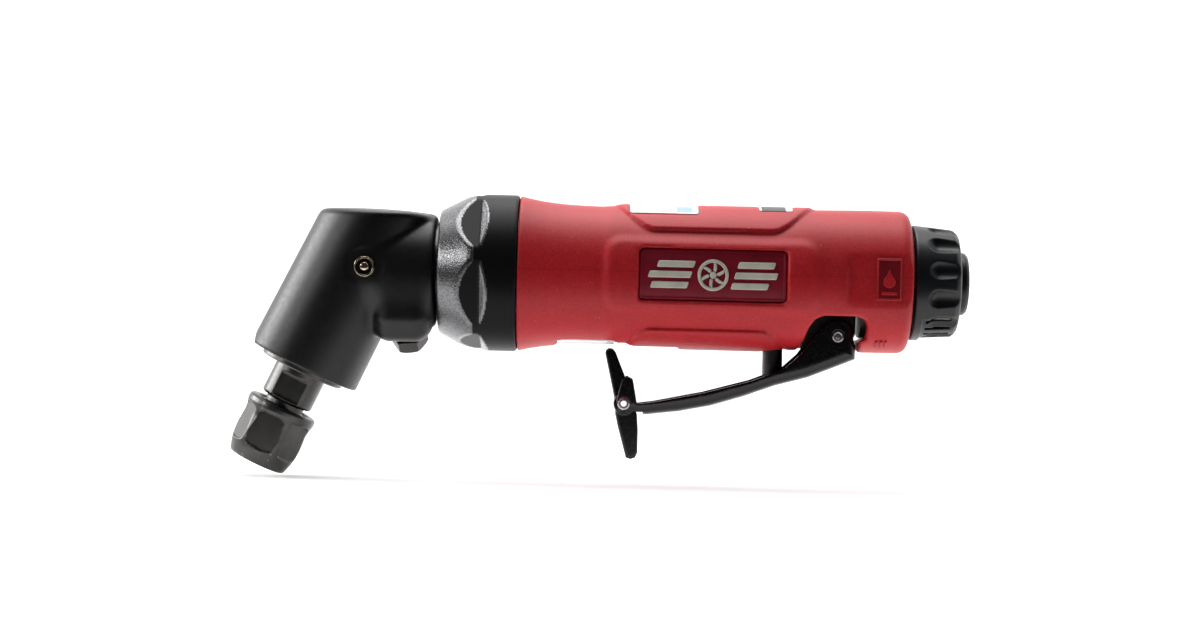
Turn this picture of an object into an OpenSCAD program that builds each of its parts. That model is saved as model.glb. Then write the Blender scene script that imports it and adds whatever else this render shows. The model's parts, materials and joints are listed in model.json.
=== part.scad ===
// Angle die grinder, air driven. The head leans forward of the handle and holds
// a collet spindle; the handle holds a vane motor, a throttle valve and its lever.
// +X runs along the handle to the rear, +Z is up, the lever hangs below.
// The origin is the centre of the air inlet's mouth.

/* [Handle] */
// Distance from the point where the two axes cross to the air inlet's mouth
tool_len = 153.8; // [153:0.1:156]
// Radius of the grip at its waist
grip_waist_r = 17.4; // [17.2:0.1:18]
// Radius of the grip's front flare
grip_flare_r = 19.3; // [18.8:0.1:19.5]

/* [Angle head] */
// Angle between the handle and the spindle
head_angle = 115; // [114:0.5:116]
// Radius of the head barrel at its mouth
barrel_r = 14.3; // [14.2:0.1:15]
// Length of the head barrel below the crossing point
barrel_len = 26.8; // [26.8:0.1:27.5]

/* [Collet] */
// Diameter of the tool shank that the collet grips
shank_d = 6.35; // [6:0.05:6.4]
// Width across the collet nut's flats
nut_flats = 15.2; // [14.8:0.1:15.6]

/* [Lever] */
// Outer width of the lever at its hinge
lever_w = 13.6; // [13.4:0.1:14]
// Outer width of the lever at its front
lever_front_w = 11; // [10.8:0.1:11.4]
// Diameter of the lever's hinge pin
lever_pin_d = 2.9; // [2.6:0.1:3]

/* [Air inlet] */
// Diameter of the threaded bore at the air inlet
inlet_bore_d = 11.2; // [10.8:0.1:11.4]

/* [Hidden] */
$fn = 64;

// Clearances
cut = 1;          // how far a cutting tool runs past the face that it cuts
run_gap = 0.03;   // radial gap of a shaft in its bearing
seat_gap = 0.05;  // radial gap of a piece seated in a bore
face_gap = 0.15;  // gap between a turning face and a still one
skin_gap = 0.06;  // gap under a label or badge

// Head, measured along the spindle from the crossing point
head_tilt = head_angle - 90;
barrel_lean = -1.4;  // how far the barrel's front side leans in, in degrees
crown_r = 15.3;
crown_end = 20.6;
neck_r = 14.2;
neck_end = 21.4;
gear_room_r = 10.3;
gear_room_end = 8.6;
spindle_bearing_r = 12;
spindle_bearing_w = 6;
upper_bearing_t = 8.8;
lower_bearing_t = 18.8;
spindle_r = 6;
shaft_r = 6.56;
nut_t = 38;
nut_end_t = 53.5;

// Bevel gears, all teeth pointing at the crossing point
pinion_teeth = 13;
gear_teeth = 17;
pitch_slant = 9.6;
tooth_face = 3.2;
pinion_cone = atan(sin(head_angle) / (gear_teeth / pinion_teeth + cos(head_angle)));
gear_cone = head_angle - pinion_cone;
tooth_rise = 4.6;   // degrees from the pitch cone to the tip cone
tooth_drop = 6.3;   // degrees from the pitch cone to the root cone

// Clamp bolt's boss, on the lower front of the neck
boss_x = 14;
bolt_reach = 13.7;
bolt_turn = 225;
bolt_lean = 7;
bolt_seat = 8;
bolt_r = 2.5;

// Handle stations along X
cartridge_x = 9.5;
cartridge_r = 11.5;
cartridge_end = 33;
small_bearing_r = 8;
small_shaft_r = 4;
clamp_nut_x = 22.2;
grip_x = 41.9;
grip_end = 139.4;
liner_r = 12.4;
housing_r = 14;
motor_x = 41;
motor_end = 76;
rotor_r = 9.3;
bore_r = 10.3;
bore_drop = 0.9;
valve_x = 105.7;
valve_flange_x = 88;
backhead_end = 139.2;
deflector_end = 151.5;
bushing_r = 7.8;

// Valve stations along Z
seat_z = -4.6;
seat_h = 1.2;
stem_r = 2.5;
stem_low_z = -24.6;
stem_top_z = -10.4;

// Lever and safety catch
hinge_x = 121.4;
hinge_z = -13.8;
sheet = 1.3;
lug_w = 10.4;
catch_x = 68.8;
catch_z = -31.8;
catch_pin_r = 1.5;
catch_w = 5.6;

module in_frame() {
    translate([-tool_len, 0, 0]) children();
}

// Local +Z becomes +X
module along_x(x = 0) {
    translate([x, 0, 0]) rotate([0, 90, 0]) children();
}

// Local +Z becomes the spindle's outward direction
module along_spindle() {
    rotate([0, 180 + head_tilt, 0]) children();
}

// Local XY becomes the tool's XZ plane, extruded to w wide about the middle
module side_plate(w) {
    translate([0, w / 2, 0]) rotate([90, 0, 0]) linear_extrude(w) children();
}

// A solid turned about Z, from [station, radius] pairs
module turned(profile) {
    rotate_extrude() polygon([for (p = profile) [p[1], p[0]]]);
}

module tube(from, to, r_out, r_in) {
    turned([[from, r_in], [to, r_in], [to, r_out], [from, r_out]]);
}

module bar(from, to, r) {
    translate([0, 0, from]) cylinder(h = to - from, r = r);
}

// Deep groove ball bearing standing on z = from
module ball_bearing(from, w, r_in, r_out, balls) {
    ball_r = (r_out - r_in) * 0.29;
    pitch_r = (r_out + r_in) / 2;
    land = ball_r * 0.55;
    mid = from + w / 2;
    difference() {
        union() {
            tube(from, from + w, r_out, pitch_r + land);
            tube(from, from + w, pitch_r - land, r_in);
        }
        translate([0, 0, mid]) rotate_extrude() translate([pitch_r, 0]) circle(ball_r + seat_gap);
    }
    for (i = [0 : balls - 1])
        rotate(i * 360 / balls) translate([pitch_r, 0, mid]) sphere(ball_r);
}

// One straight bevel tooth about Z, from the inner to the outer slant
function cone_point(slant, cone, turn) =
    slant * [sin(cone) * cos(turn), sin(cone) * sin(turn), cos(cone)];

module bevel_tooth(cone, teeth) {
    root = cone - tooth_drop - 0.5;
    tip = cone + tooth_rise;
    pitch_turn = 360 / teeth;
    root_turn = pitch_turn * 0.29;
    tip_turn = pitch_turn * 0.11;
    inner = pitch_slant - tooth_face;
    rim = [[root, -root_turn], [root, root_turn], [tip, tip_turn], [tip, -tip_turn]];
    polyhedron(
        points = [for (s = [inner, pitch_slant], c = rim) cone_point(s, c[0], c[1])],
        faces = [[3, 2, 1, 0], [4, 5, 6, 7], [1, 5, 4, 0], [2, 6, 5, 1], [3, 7, 6, 2], [0, 4, 7, 3]]
    );
}

module bevel_teeth(cone, teeth) {
    for (i = [0 : teeth - 1]) rotate(i * 360 / teeth) bevel_tooth(cone, teeth);
}

// A round wire swept along a helix about Z, with straight legs at its ends
function helix(r, turns, pitch, steps) =
    [for (i = [0 : turns * steps])
        [r * cos(i * 360 / steps), r * sin(i * 360 / steps), i * pitch / steps]];

module wire(route, r) {
    sides = 8;
    last = len(route) - 1;
    rings = [for (i = [0 : last])
        let (ahead = route[min(i + 1, last)] - route[max(i - 1, 0)],
             way = ahead / norm(ahead),
             side = cross(way, [0.0123, 0.0321, 1]),
             u = side / norm(side),
             v = cross(way, u))
        for (k = [0 : sides - 1])
            route[i] + r * (u * cos(k * 360 / sides) + v * sin(k * 360 / sides))];
    walls = [for (i = [0 : last - 1], k = [0 : sides - 1])
        let (a = i * sides + k, b = i * sides + (k + 1) % sides)
        [a, a + sides, b + sides, b]];
    first_cap = [for (k = [0 : sides - 1]) k];
    last_cap = [for (k = [0 : sides - 1]) last * sides + sides - 1 - k];
    polyhedron(points = rings, faces = concat([first_cap], walls, [last_cap]));
}

// Angle head ---------------------------------------------------------------

module on_clamp_bolt() {
    translate([boss_x, 0, 0]) rotate([bolt_turn, 0, 0]) translate([0, bolt_reach, 0])
        rotate([0, bolt_lean, 0]) children();
}

module head_shape() {
    below = 50;
    intersection() {
        along_spindle() turned([
            [-30, 0], [-30, barrel_r], [barrel_len - 0.5, barrel_r],
            [barrel_len, barrel_r - 0.5], [barrel_len, 0]
        ]);
        along_spindle() translate([0, 0, barrel_len]) rotate([0, barrel_lean, 0])
            translate([0, 0, -70]) cylinder(h = 80, r = barrel_r);
        rotate([90, 0, 90]) translate([0, 0, -below]) linear_extrude(below + crown_end) {
            circle(crown_r);
            translate([-crown_r, -below]) square([2 * crown_r, below]);
        }
    }
    along_x() turned([
        [0, 0], [0, neck_r], [20, neck_r], [neck_end, neck_r - 1.8], [neck_end, 0]
    ]);
    on_clamp_bolt() clamp_boss();
}

module clamp_boss() {
    boss_r = 7.2;
    boss_inset = 2.2;
    boss_top = -0.6;
    translate([0, -boss_inset, 0]) turned([
        [boss_top - 2.2, 0], [boss_top - 2.2, boss_r - 2.4], [boss_top, boss_r],
        [bolt_seat - 1.5, boss_r], [bolt_seat, boss_r - 1.5], [bolt_seat, 0]
    ]);
}

module head_housing() color([0.07, 0.07, 0.075]) {
    head_drop_r = spindle_bearing_r + seat_gap;
    difference() {
        head_shape();
        along_spindle() {
            bar(-7.5, gear_room_end + cut, gear_room_r);
            bar(gear_room_end, barrel_len + cut, head_drop_r);
        }
        along_x() {
            bar(1, cartridge_x, small_bearing_r + 0.3);
            bar(cartridge_x - 0.1, neck_end + cut, cartridge_r + 0.02);
        }
        on_clamp_bolt() {
            bar(-0.9, 20, bolt_r + seat_gap);
            bar(bolt_seat, 20, 4.9);
        }
        on_grease_fitting() {
            bar(14.2, 20, 4.85);
            bar(8, 20, 2.55);
        }
    }
}

// Local +Z points out of the head's front side, at the grease fitting
module on_grease_fitting() {
    translate([4.5, 0, 0.6]) rotate([90, 0, 0]) children();
}

module grease_fitting() color([0.72, 0.62, 0.42]) on_grease_fitting() {
    ball_r = 0.95;
    turned([
        [9.5, 0], [9.5, 2.5], [14.3, 2.5], [14.75, 2.1],
        [14.75, 1.35], [14.1, 0.8], [14.1, 0]
    ]);
    translate([0, 0, 14.1 + ball_r]) sphere(ball_r);
}

module clamp_bolt() color([0.12, 0.12, 0.13]) on_clamp_bolt() {
    head_h = 3.5;
    head_flats = 8;
    bar(-0.8, bolt_seat + 0.1, bolt_r);
    intersection() {
        translate([0, 0, bolt_seat]) rotate(30)
            cylinder(h = head_h, r = head_flats / 2 / cos(30), $fn = 6);
        turned([
            [bolt_seat, 0], [bolt_seat, 4.7], [bolt_seat + head_h - 0.4, 4.7],
            [bolt_seat + head_h, 4.2], [bolt_seat + head_h, 0]
        ]);
    }
}

module spindle() color([0.16, 0.16, 0.17]) along_spindle() {
    flat_t = 30;
    flat_len = 6;
    flats_w = 11;
    nose_r = 5.9;
    nose_end = 46.8;
    difference() {
        turned([
            [0.9, 0], [0.9, 2.2], [1.2, 2.5], [2.9, 2.5], [2.9, 3.45], [8.85, 3.45],
            [8.85, spindle_r - run_gap], [24.95, spindle_r - run_gap],
            [24.95, shaft_r], [36.2, shaft_r], [36.7, shaft_r - 0.5], [36.7, 5],
            [38.2, 5], [38.6, nose_r], [nose_end - 0.4, nose_r],
            [nose_end, nose_r - 0.4], [nose_end, 0]
        ]);
        turned([
            [24, 0], [24, 3.3], [36, 3.35], [nose_end, 4.75],
            [nose_end + cut, 4.88], [nose_end + cut, 0]
        ]);
        for (side = [-1, 1])
            translate([-10, side * (flats_w / 2 + 5) - 5, flat_t]) cube([20, 10, flat_len]);
    }
}

module lower_spindle_bearing() color([0.75, 0.76, 0.78]) along_spindle()
    ball_bearing(lower_bearing_t, spindle_bearing_w, spindle_r, spindle_bearing_r, 9);

module upper_spindle_bearing() color([0.75, 0.76, 0.78]) along_spindle()
    ball_bearing(upper_bearing_t, spindle_bearing_w, spindle_r, spindle_bearing_r, 9);

module spindle_outer_spacer() color([0.55, 0.56, 0.58]) along_spindle()
    tube(upper_bearing_t + spindle_bearing_w, lower_bearing_t, spindle_bearing_r, 9.8);

module spindle_inner_spacer() color([0.55, 0.56, 0.58]) along_spindle()
    tube(upper_bearing_t + spindle_bearing_w + face_gap, lower_bearing_t - face_gap, 7.2, spindle_r);

module bearing_retainer() color([0.2, 0.2, 0.21]) along_spindle() difference() {
    lip_r = 10.75;
    lip_end = 28.1;
    turned([
        [24.85, 7], [24.85, spindle_bearing_r], [barrel_len, spindle_bearing_r],
        [barrel_len, lip_r], [lip_end - 0.3, lip_r], [lip_end, lip_r - 0.3], [lip_end, 7]
    ]);
    for (turn = [0, 120, 240]) rotate(turn) translate([8.9, 0, 26]) cylinder(h = 4, r = 0.9);
}

module driven_gear() color([0.45, 0.46, 0.48]) along_spindle() {
    root = gear_cone - tooth_drop;
    inner = pitch_slant - tooth_face;
    front_t = inner * cos(root);
    turned([
        [front_t, 3.5], [front_t, inner * sin(root)],
        [pitch_slant * cos(root), pitch_slant * sin(root)],
        [6.2, 8], [6.6, 6.6], [8.65, 6.6], [8.65, 3.5]
    ]);
    bevel_teeth(gear_cone, gear_teeth);
}

module gear_nut() color([0.3, 0.3, 0.32]) along_spindle() difference() {
    translate([0, 0, 1]) cylinder(h = 1.85, r = 4.04, $fn = 6);
    bar(0, 4, 2.52);
}

// Collet ---------------------------------------------------------------------

module collet() color([0.6, 0.61, 0.63]) along_spindle() {
    flange_t = 47.1;
    slits = 3;
    difference() {
        turned([
            [40.8, shank_d / 2], [40.8, 3.9], [46.8, 4.68], [flange_t, 4.68],
            [flange_t, 5.3], [48.5, 5.3], [50.4, 4.15], [52.9, 4.15], [52.9, shank_d / 2]
        ]);
        for (i = [0 : slits - 1]) rotate(i * 360 / slits + 30)
            translate([0, -0.3, 42.5]) cube([8, 0.6, 12]);
    }
}

module collet_nut() color([0.17, 0.17, 0.18]) along_spindle() difference() {
    flat_top = 40.6;
    flat_end = 49.2;
    turned([
        [nut_t, 6.9], [nut_t, 8.2], [38.4, 8.85], [39.8, 8.9], [41, 8.55],
        [42.6, 8.35], [44.5, 8.5], [46.5, 8.65], [48.8, 8.5], [50.8, 8.1],
        [nut_end_t - 0.4, 7.4], [nut_end_t, 7],
        [nut_end_t, 4.7], [53, 4.35], [50.6, 4.35], [48.6, 5.5], [47.4, 6.02],
        [39.6, 6.02]
    ]);
    for (turn = [30 : 60 : 330]) rotate(turn)
        translate([nut_flats / 2, -6, flat_top]) cube([4, 12, flat_end - flat_top]);
}

// Pinion and its cartridge -----------------------------------------------------

module pinion() color([0.45, 0.46, 0.48]) along_x() {
    root = pinion_cone - tooth_drop;
    inner = pitch_slant - tooth_face;
    hub_end = 10.3;
    drive_end = 38.5;
    turned([
        [inner * cos(root), 0], [inner * cos(root), inner * sin(root)],
        [pitch_slant * cos(root), pitch_slant * sin(root)],
        [8.6, 5.2], [hub_end, 5.2], [hub_end, small_shaft_r - run_gap],
        [27, small_shaft_r - run_gap], [27, 0]
    ]);
    bevel_teeth(pinion_cone, pinion_teeth);
    translate([0, 0, 26.9]) cylinder(h = drive_end - 26.9, r = 2.6, $fn = 6);
}

module pinion_cartridge() color([0.1, 0.1, 0.11]) difference() {
    groove_x = 25.6;
    groove_w = 1.5;
    lip_w = 1;
    along_x() {
        turned([
            [cartridge_x, 6.6], [cartridge_x, cartridge_r - 0.3],
            [cartridge_x + 0.3, cartridge_r], [groove_x, cartridge_r], [groove_x, 10.7],
            [groove_x + groove_w, 10.7], [groove_x + groove_w, cartridge_r],
            [cartridge_end, cartridge_r], [cartridge_end, small_bearing_r + 0.05],
            [cartridge_x + lip_w, small_bearing_r + 0.05], [cartridge_x + lip_w, 6.6]
        ]);
    }
    along_x() tube(24.6, 25.6, 8.7, 7);
    on_clamp_bolt() bar(-4, 12, bolt_r + 0.08);
}

module front_pinion_bearing() color([0.75, 0.76, 0.78]) along_x()
    ball_bearing(10.5, 5, small_shaft_r, small_bearing_r, 8);

module rear_pinion_bearing() color([0.75, 0.76, 0.78]) along_x()
    ball_bearing(19.5, 5, small_shaft_r, small_bearing_r, 8);

module pinion_bearing_spacer() color([0.55, 0.56, 0.58]) along_x()
    tube(15.5, 19.5, small_bearing_r, 6.6);

// Split ring about X with a gap for the pliers
module split_ring(from, to, r_out, r_in, gap) {
    along_x() difference() {
        tube(from, to, r_out, r_in);
        translate([0, -gap / 2, from - cut]) cube([r_out + cut, gap, to - from + 2 * cut]);
    }
}

module pinion_snap_ring() color([0.35, 0.35, 0.37])
    split_ring(24.65, 25.55, 8.65, 7.1, 4);

module nut_snap_ring() color([0.35, 0.35, 0.37])
    split_ring(25.75, 26.95, 13.4, 10.75, 5);

module clamp_nut() color([0.08, 0.08, 0.085]) difference() {
    flats = 6;
    flat_reach = 17.6;
    first_flat = 43;
    along_x() turned([
        [clamp_nut_x, 11.7], [clamp_nut_x, 15], [22.6, 15.4], [29.6, 19.05],
        [31, 19.5], [41.4, 19.5], [41.8, 19.1], [41.8, 16.15], [28.4, 16.15],
        [28.4, 13.7], [25.5, 13.7], [25.5, 11.7]
    ]);
    for (i = [0 : flats - 1])
        rotate([-first_flat - i * 360 / flats, 0, 0]) translate([0, -flat_reach, 0])
            rotate([0, 0, 180]) mirror([1, 0, 0]) translate([0, 0, -11]) linear_extrude(22)
                polygon([[20, 0], [32.5, 0], [34.8, 2.4], [20, 2.4]]);
}

// Vane motor -----------------------------------------------------------------

module motor_housing() color([0.5, 0.51, 0.53]) difference() {
    nose_x = 28.6;
    nose_r = 16.05;
    step_x = 45;
    plate_seat_x = 35.3;
    wall_x = 33.6;
    wall_bore_r = 9;
    along_x() turned([
        [nose_x, cartridge_r + seat_gap], [nose_x, nose_r], [step_x, nose_r],
        [step_x, housing_r], [valve_flange_x, housing_r], [valve_flange_x, liner_r],
        [plate_seat_x, liner_r], [plate_seat_x, wall_bore_r],
        [wall_x, wall_bore_r], [wall_x, cartridge_r + seat_gap]
    ]);
    exhaust_slots(20);
}

// Three exhaust slots through the motor's +Y wall
module exhaust_slots(reach) {
    for (x = [50, 58, 66]) translate([x, 5, -3]) cube([3, reach, 6]);
}

module front_end_plate() color([0.66, 0.62, 0.5]) along_x() difference() {
    turned([
        [35.5, small_bearing_r + seat_gap], [35.5, liner_r - seat_gap],
        [motor_x, liner_r - seat_gap], [motor_x, 4.3], [40, 4.3],
        [40, small_bearing_r + seat_gap]
    ]);
    on_cylinder_pin() bar(39, motor_x + cut, 0.75);
}

module front_rotor_bearing() color([0.75, 0.76, 0.78]) along_x()
    ball_bearing(35.7, 4.2, small_shaft_r, small_bearing_r, 8);

// The pin sits in the thick upper wall of the cylinder; -X is up inside along_x
module on_cylinder_pin() {
    translate([-10.9, 0, 0]) children();
}

module motor_cylinder() color([0.58, 0.59, 0.61]) difference() {
    along_x() difference() {
        bar(motor_x, motor_end, liner_r - seat_gap);
        translate([bore_drop, 0, 0]) bar(motor_x - cut, motor_end + cut, bore_r);
        on_cylinder_pin() bar(motor_x - cut, motor_end + cut, 0.75);
    }
    exhaust_slots(20);
}

module rotor() color([0.5, 0.51, 0.53]) along_x() difference() {
    shaft = small_shaft_r - run_gap;
    turned([
        [33.8, 0], [33.8, shaft], [motor_x + face_gap, shaft],
        [motor_x + face_gap, rotor_r], [motor_end - face_gap, rotor_r],
        [motor_end - face_gap, shaft], [81.2, shaft], [81.2, 0]
    ]);
    translate([0, 0, 33]) cylinder(h = 6, r = 2.68, $fn = 6);
    vane_places(1.6, 0.1, 4.6);
}

// The five slots, or vanes, of the rotor
module vane_places(thick, end_gap, depth) {
    vanes = 5;
    length = motor_end - motor_x - 2 * face_gap;
    for (i = [0 : vanes - 1]) rotate(i * 360 / vanes + 36)
        translate([rotor_r - depth, -thick / 2, motor_x + face_gap - 0.2 + end_gap])
            cube([depth + 0.3, thick, length + 0.4 - 2 * end_gap]);
}

module rotor_vanes() color([0.42, 0.27, 0.12]) along_x() intersection() {
    vane_places(1.5, 0.4, 4.5);
    bar(motor_x, motor_end, rotor_r - 0.05);
}

module rear_end_plate() color([0.66, 0.62, 0.5]) along_x() difference() {
    turned([
        [motor_end, 4.3], [motor_end, liner_r - seat_gap], [81.6, liner_r - seat_gap],
        [81.6, small_bearing_r + seat_gap], [77, small_bearing_r + seat_gap], [77, 4.3]
    ]);
    on_cylinder_pin() bar(motor_end - cut, 78, 0.75);
    for (turn = [-24, 0, 24]) rotate(turn) translate([10.3, 0, 70]) cylinder(h = 20, r = 1.4);
}

module rear_rotor_bearing() color([0.75, 0.76, 0.78]) along_x()
    ball_bearing(77.1, 4.2, small_shaft_r, small_bearing_r, 8);

module cylinder_pin() color([0.6, 0.6, 0.62]) along_x() on_cylinder_pin()
    bar(39.2, 77.8, 0.7);

// Throttle valve ---------------------------------------------------------------

module valve_housing() color([0.13, 0.12, 0.12]) difference() {
    rear_r = 11;
    union() {
        along_x() turned([
            [81.8, 0], [81.8, liner_r - seat_gap], [valve_flange_x + 0.5, liner_r - seat_gap],
            [valve_flange_x + 0.5, housing_r], [131, housing_r], [134, rear_r],
            [backhead_end, rear_r], [backhead_end, 0]
        ]);
        lever_lug();
        side_plate(lug_w - 0.6) polygon([
            [113.4, -10], [113.4, -14.6], [112.3, -17], [117, -17.2], [118, -15], [118, -10]
        ]);
    }
    for (side = [-1, 1]) scale([1, side, 1])
        translate([110, lug_w / 2, -30]) cube([16.7, 20, 21.6]);
    translate([125.8, -20, -40]) cube([0.9, 40, 31.6]);
    along_x() {
        bar(127, backhead_end + cut, bushing_r + seat_gap);
        bar(125.6, 128, 5.6);
        bar(valve_x, 126, 4);
        translate([8.3, 0, 0]) bar(81, valve_x, 2.2);
        tube(80, 84.5, 11.6, 8.9);
    }
    translate([valve_x, 0, 0]) {
        bar(seat_z, housing_r + cut, 4.6);
        bar(-10.8, 0, 2.9);
        bar(-20, 0, stem_r + run_gap);
        bar(-13, -11.9, 3.6);
    }
    on_hinge() bar(-20, 20, lever_pin_d / 2 + 0.02);
}

// Local +Z runs along +Y on the lever's hinge line
module on_hinge() {
    translate([hinge_x, 0, hinge_z]) rotate([-90, 0, 0]) children();
}

module lever_lug() {
    on_hinge() bar(-lug_w / 2, lug_w / 2, 4);
    translate([hinge_x - 4, -lug_w / 2, hinge_z]) cube([8, lug_w, 6]);
}

module housing_gasket() color([0.1, 0.1, 0.1]) along_x()
    tube(valve_flange_x, valve_flange_x + 0.45, housing_r, liner_r + 0.05);

module valve_seat() color([0.08, 0.08, 0.08]) translate([valve_x, 0, 0])
    tube(seat_z, seat_z + seat_h, 4.55, 2.6);

module throttle_valve() color([0.78, 0.65, 0.35]) translate([valve_x, 0, 0]) {
    head_z = seat_z + seat_h + 0.05;
    turned([
        [stem_top_z + 0.02, 0], [stem_top_z + 0.02, 1.6], [head_z, 1.6],
        [head_z, 3.9], [head_z + 1.9, 3.9], [head_z + 1.9, 2.4],
        [head_z + 4.4, 2.2], [head_z + 4.4, 0]
    ]);
}

module throttle_stem() color([0.15, 0.15, 0.16]) translate([valve_x, 0, 0])
    turned([
        [stem_low_z, 0], [stem_low_z, 1.5], [stem_low_z + 0.7, 2.3],
        [stem_low_z + 1.2, stem_r], [stem_top_z, stem_r], [stem_top_z, 0]
    ]);

module stem_o_ring() color([0.06, 0.06, 0.06]) translate([valve_x, 0, -12.45])
    rotate_extrude() translate([3.06, 0]) circle(0.5);

module valve_spring() color([0.6, 0.61, 0.63]) {
    low = seat_z + seat_h + 2.3;
    high = 8.7;
    turns = 6;
    translate([valve_x, 0, low])
        wire(helix(3.3, turns, (high - low) / turns, 16), 0.3);
}

module valve_cap() color([0.7, 0.68, 0.6]) translate([valve_x, 0, 0]) difference() {
    bar(9.1, 13.5, 4.55);
    translate([-5, -0.6, 12.2]) cube([10, 1.2, 3]);
}

// Grip -------------------------------------------------------------------------

module grip_outside() {
    corner_r = 3.75;
    rear_r = 17.65;
    along_x() turned(concat(
        [[grip_x, 0], [grip_x, grip_flare_r], [45, 18.75], [49.6, 18],
         [57.6, grip_waist_r], [72, 17.3], [100, 17.4], [117, 17.6], [128, 17.75]],
        [for (a = [90 : -15 : 0])
            [grip_end - corner_r + corner_r * cos(a), rear_r - corner_r + corner_r * sin(a)]],
        [[grip_end, 0]]
    ));
    intersection() {
        along_x() turned([
            [62, 0], [62, 17.2], [65, 18.2], [114, 18.25], [118, 17.4], [118, 0]
        ]);
        translate([60, -20, 11.2]) cube([60, 40, 20]);
    }
    intersection() {
        along_x() turned([
            [69, 0], [69, 17.2], [72, 18], [104, 18.05], [109, 17.4], [109, 0]
        ]);
        translate([60, -20, -34.5]) cube([60, 40, 20]);
    }
}

// The curved block between two radii behind an outline on the grip's sides
module side_patch(r_out, r_in) {
    intersection() {
        along_x() tube(40, 145, r_out, r_in);
        side_plate(60) children();
    }
}

module rounded_rect(x, z, w, h, r) {
    for (dx = [-1, 1], dz = [-1, 1])
        translate([x + dx * (w / 2 - r), z + dz * (h / 2 - r)]) circle(r);
    translate([x - w / 2 + r, z - h / 2]) square([w - 2 * r, h]);
    translate([x - w / 2, z - h / 2 + r]) square([w, h - 2 * r]);
}

badge_x = 89.7;
badge_z = 0.45;
badge_w = 36.4;
badge_h = 12.9;
oil_x = 132.7;
oil_z = 0.45;
oil_w = 6.5;
oil_h = 10.5;
badge_floor_r = 16.5;

module label_window(x, w, half_width, floor_r, up) {
    intersection() {
        along_x() tube(x, x + w, 25, floor_r);
        translate([x - 1, -half_width, up ? 0 : -30]) cube([w + 2, 2 * half_width, 30]);
    }
}

module grip() color([0.66, 0.1, 0.13]) difference() {
    grip_outside();
    grip_bore();
    side_patch(22, badge_floor_r) rounded_rect(badge_x, badge_z, badge_w, badge_h, 1.2);
    side_patch(22, 16.9) rounded_rect(134.8, 0, 20, 13, 1);
    label_window(69, 17.4, 9.4, 17.85, true);
    label_window(101, 8.8, 7, 17.95, true);
    label_window(51.6, 14.8, 6, 17.0, false);
    lever_window();
    translate([valve_x, 0, -30]) cylinder(h = 30, r = 3.1);
    translate([62.5, -3.9, -20]) cube([19.5, 7.8, 4.4]);
    exhaust_channels();
}

module grip_bore() {
    along_x() {
        bar(grip_x - cut, 45.3, 16.35);
        bar(45, 136.8, housing_r + 0.3);
        bar(136, grip_end + cut, 12.7);
    }
}

// Grooves in the bore that lead the exhaust air to the rear
module exhaust_channels() {
    along_x() for (turn = [90, 180, 270]) rotate(turn)
        translate([13, -5, 48]) cube([2.3, 10, 84]);
}

module lever_window() {
    side_plate(60) polygon([
        [117.2, -8.7], [125.4, -8.7], [127.4, -9.4], [128.1, -11.2], [128.1, -25],
        [111.7, -25], [111.7, -17.6], [112.9, -14.6], [113.8, -11.6], [115.2, -9.6]
    ]);
}

module side_badges() color([0.45, 0.08, 0.1])
    side_patch(16.95, badge_floor_r + skin_gap)
        rounded_rect(badge_x, badge_z, badge_w - 0.3, badge_h - 0.3, 1.1);

module oil_plate() color([0.5, 0.07, 0.09]) intersection() {
    side_patch(17.2, 16.9 + skin_gap) rounded_rect(oil_x, oil_z, oil_w, oil_h, 0.4);
    translate([120, -30, -10]) cube([20, 30, 20]);
}

module label_sheet(x, w, half_width, r, up) {
    intersection() {
        along_x() tube(x, x + w, r + 0.22, r + skin_gap);
        translate([x - 1, -half_width, up ? 0 : -30]) cube([w + 2, 2 * half_width, 30]);
    }
}

module top_label() color([0.9, 0.9, 0.9]) label_sheet(69.2, 17, 9.2, 17.85, true);

module rear_top_label() color([0.9, 0.9, 0.9]) label_sheet(101.2, 8.4, 6.8, 17.95, true);

module bottom_label() color([0.85, 0.85, 0.84]) label_sheet(51.8, 14.4, 5.8, 17.0, false);

// Lever and safety catch -----------------------------------------------------

module lever_side(lift) {
    translate([0, lift]) polygon([
        [67.3, -33.2], [68.5, -34.5], [74.5, -34.4], [82.5, -33.4], [90.4, -31.8],
        [98.4, -29.3], [106.3, -26.4], [114.3, -24.2], [122.2, -21], [126, -19.4],
        [126.4, -14.3], [125.3, -11.4], [123.2, -10], [121.4, -9.7], [119.2, -10.3],
        [117.5, -11.4], [115.5, -13.8], [114.1, -15.8], [112.2, -18.5], [108.2, -22.2],
        [100.3, -25.3], [88.4, -28.6], [76.4, -31.1], [72.1, -31.7], [71, -25.7],
        [69.5, -24.9], [68.2, -25.8], [67, -31]
    ]);
}

// Plan of the lever, narrowing to the front
module lever_plan(hinge_w, front_w) {
    translate([0, 0, -50]) linear_extrude(60) polygon([
        [60, -front_w / 2], [76, -front_w / 2], [112, -hinge_w / 2], [135, -hinge_w / 2],
        [135, hinge_w / 2], [112, hinge_w / 2], [76, front_w / 2], [60, front_w / 2]
    ]);
}

module lever() color([0.05, 0.05, 0.055]) difference() {
    intersection() {
        side_plate(30) lever_side(0);
        lever_plan(lever_w, lever_front_w);
    }
    intersection() {
        side_plate(30) polygon([
            [60, -33.1], [74.5, -33], [82.5, -32], [90.4, -30.4], [98.4, -27.9],
            [106.3, -25], [114.3, -22.8], [122.2, -19.6], [124.4, -18.7], [124.8, -16],
            [130, -15], [130, 0], [60, 0]
        ]);
        lever_plan(lever_w - 2 * sheet, lever_front_w - 2 * sheet);
    }
    translate([60, sheet - lever_front_w / 2, -40]) cube([13.6, lever_front_w - 2 * sheet, 15]);
    on_hinge() bar(-20, 20, lever_pin_d / 2 + 0.05);
    on_catch_pin() bar(-20, 20, catch_pin_r + 0.02);
}

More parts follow.
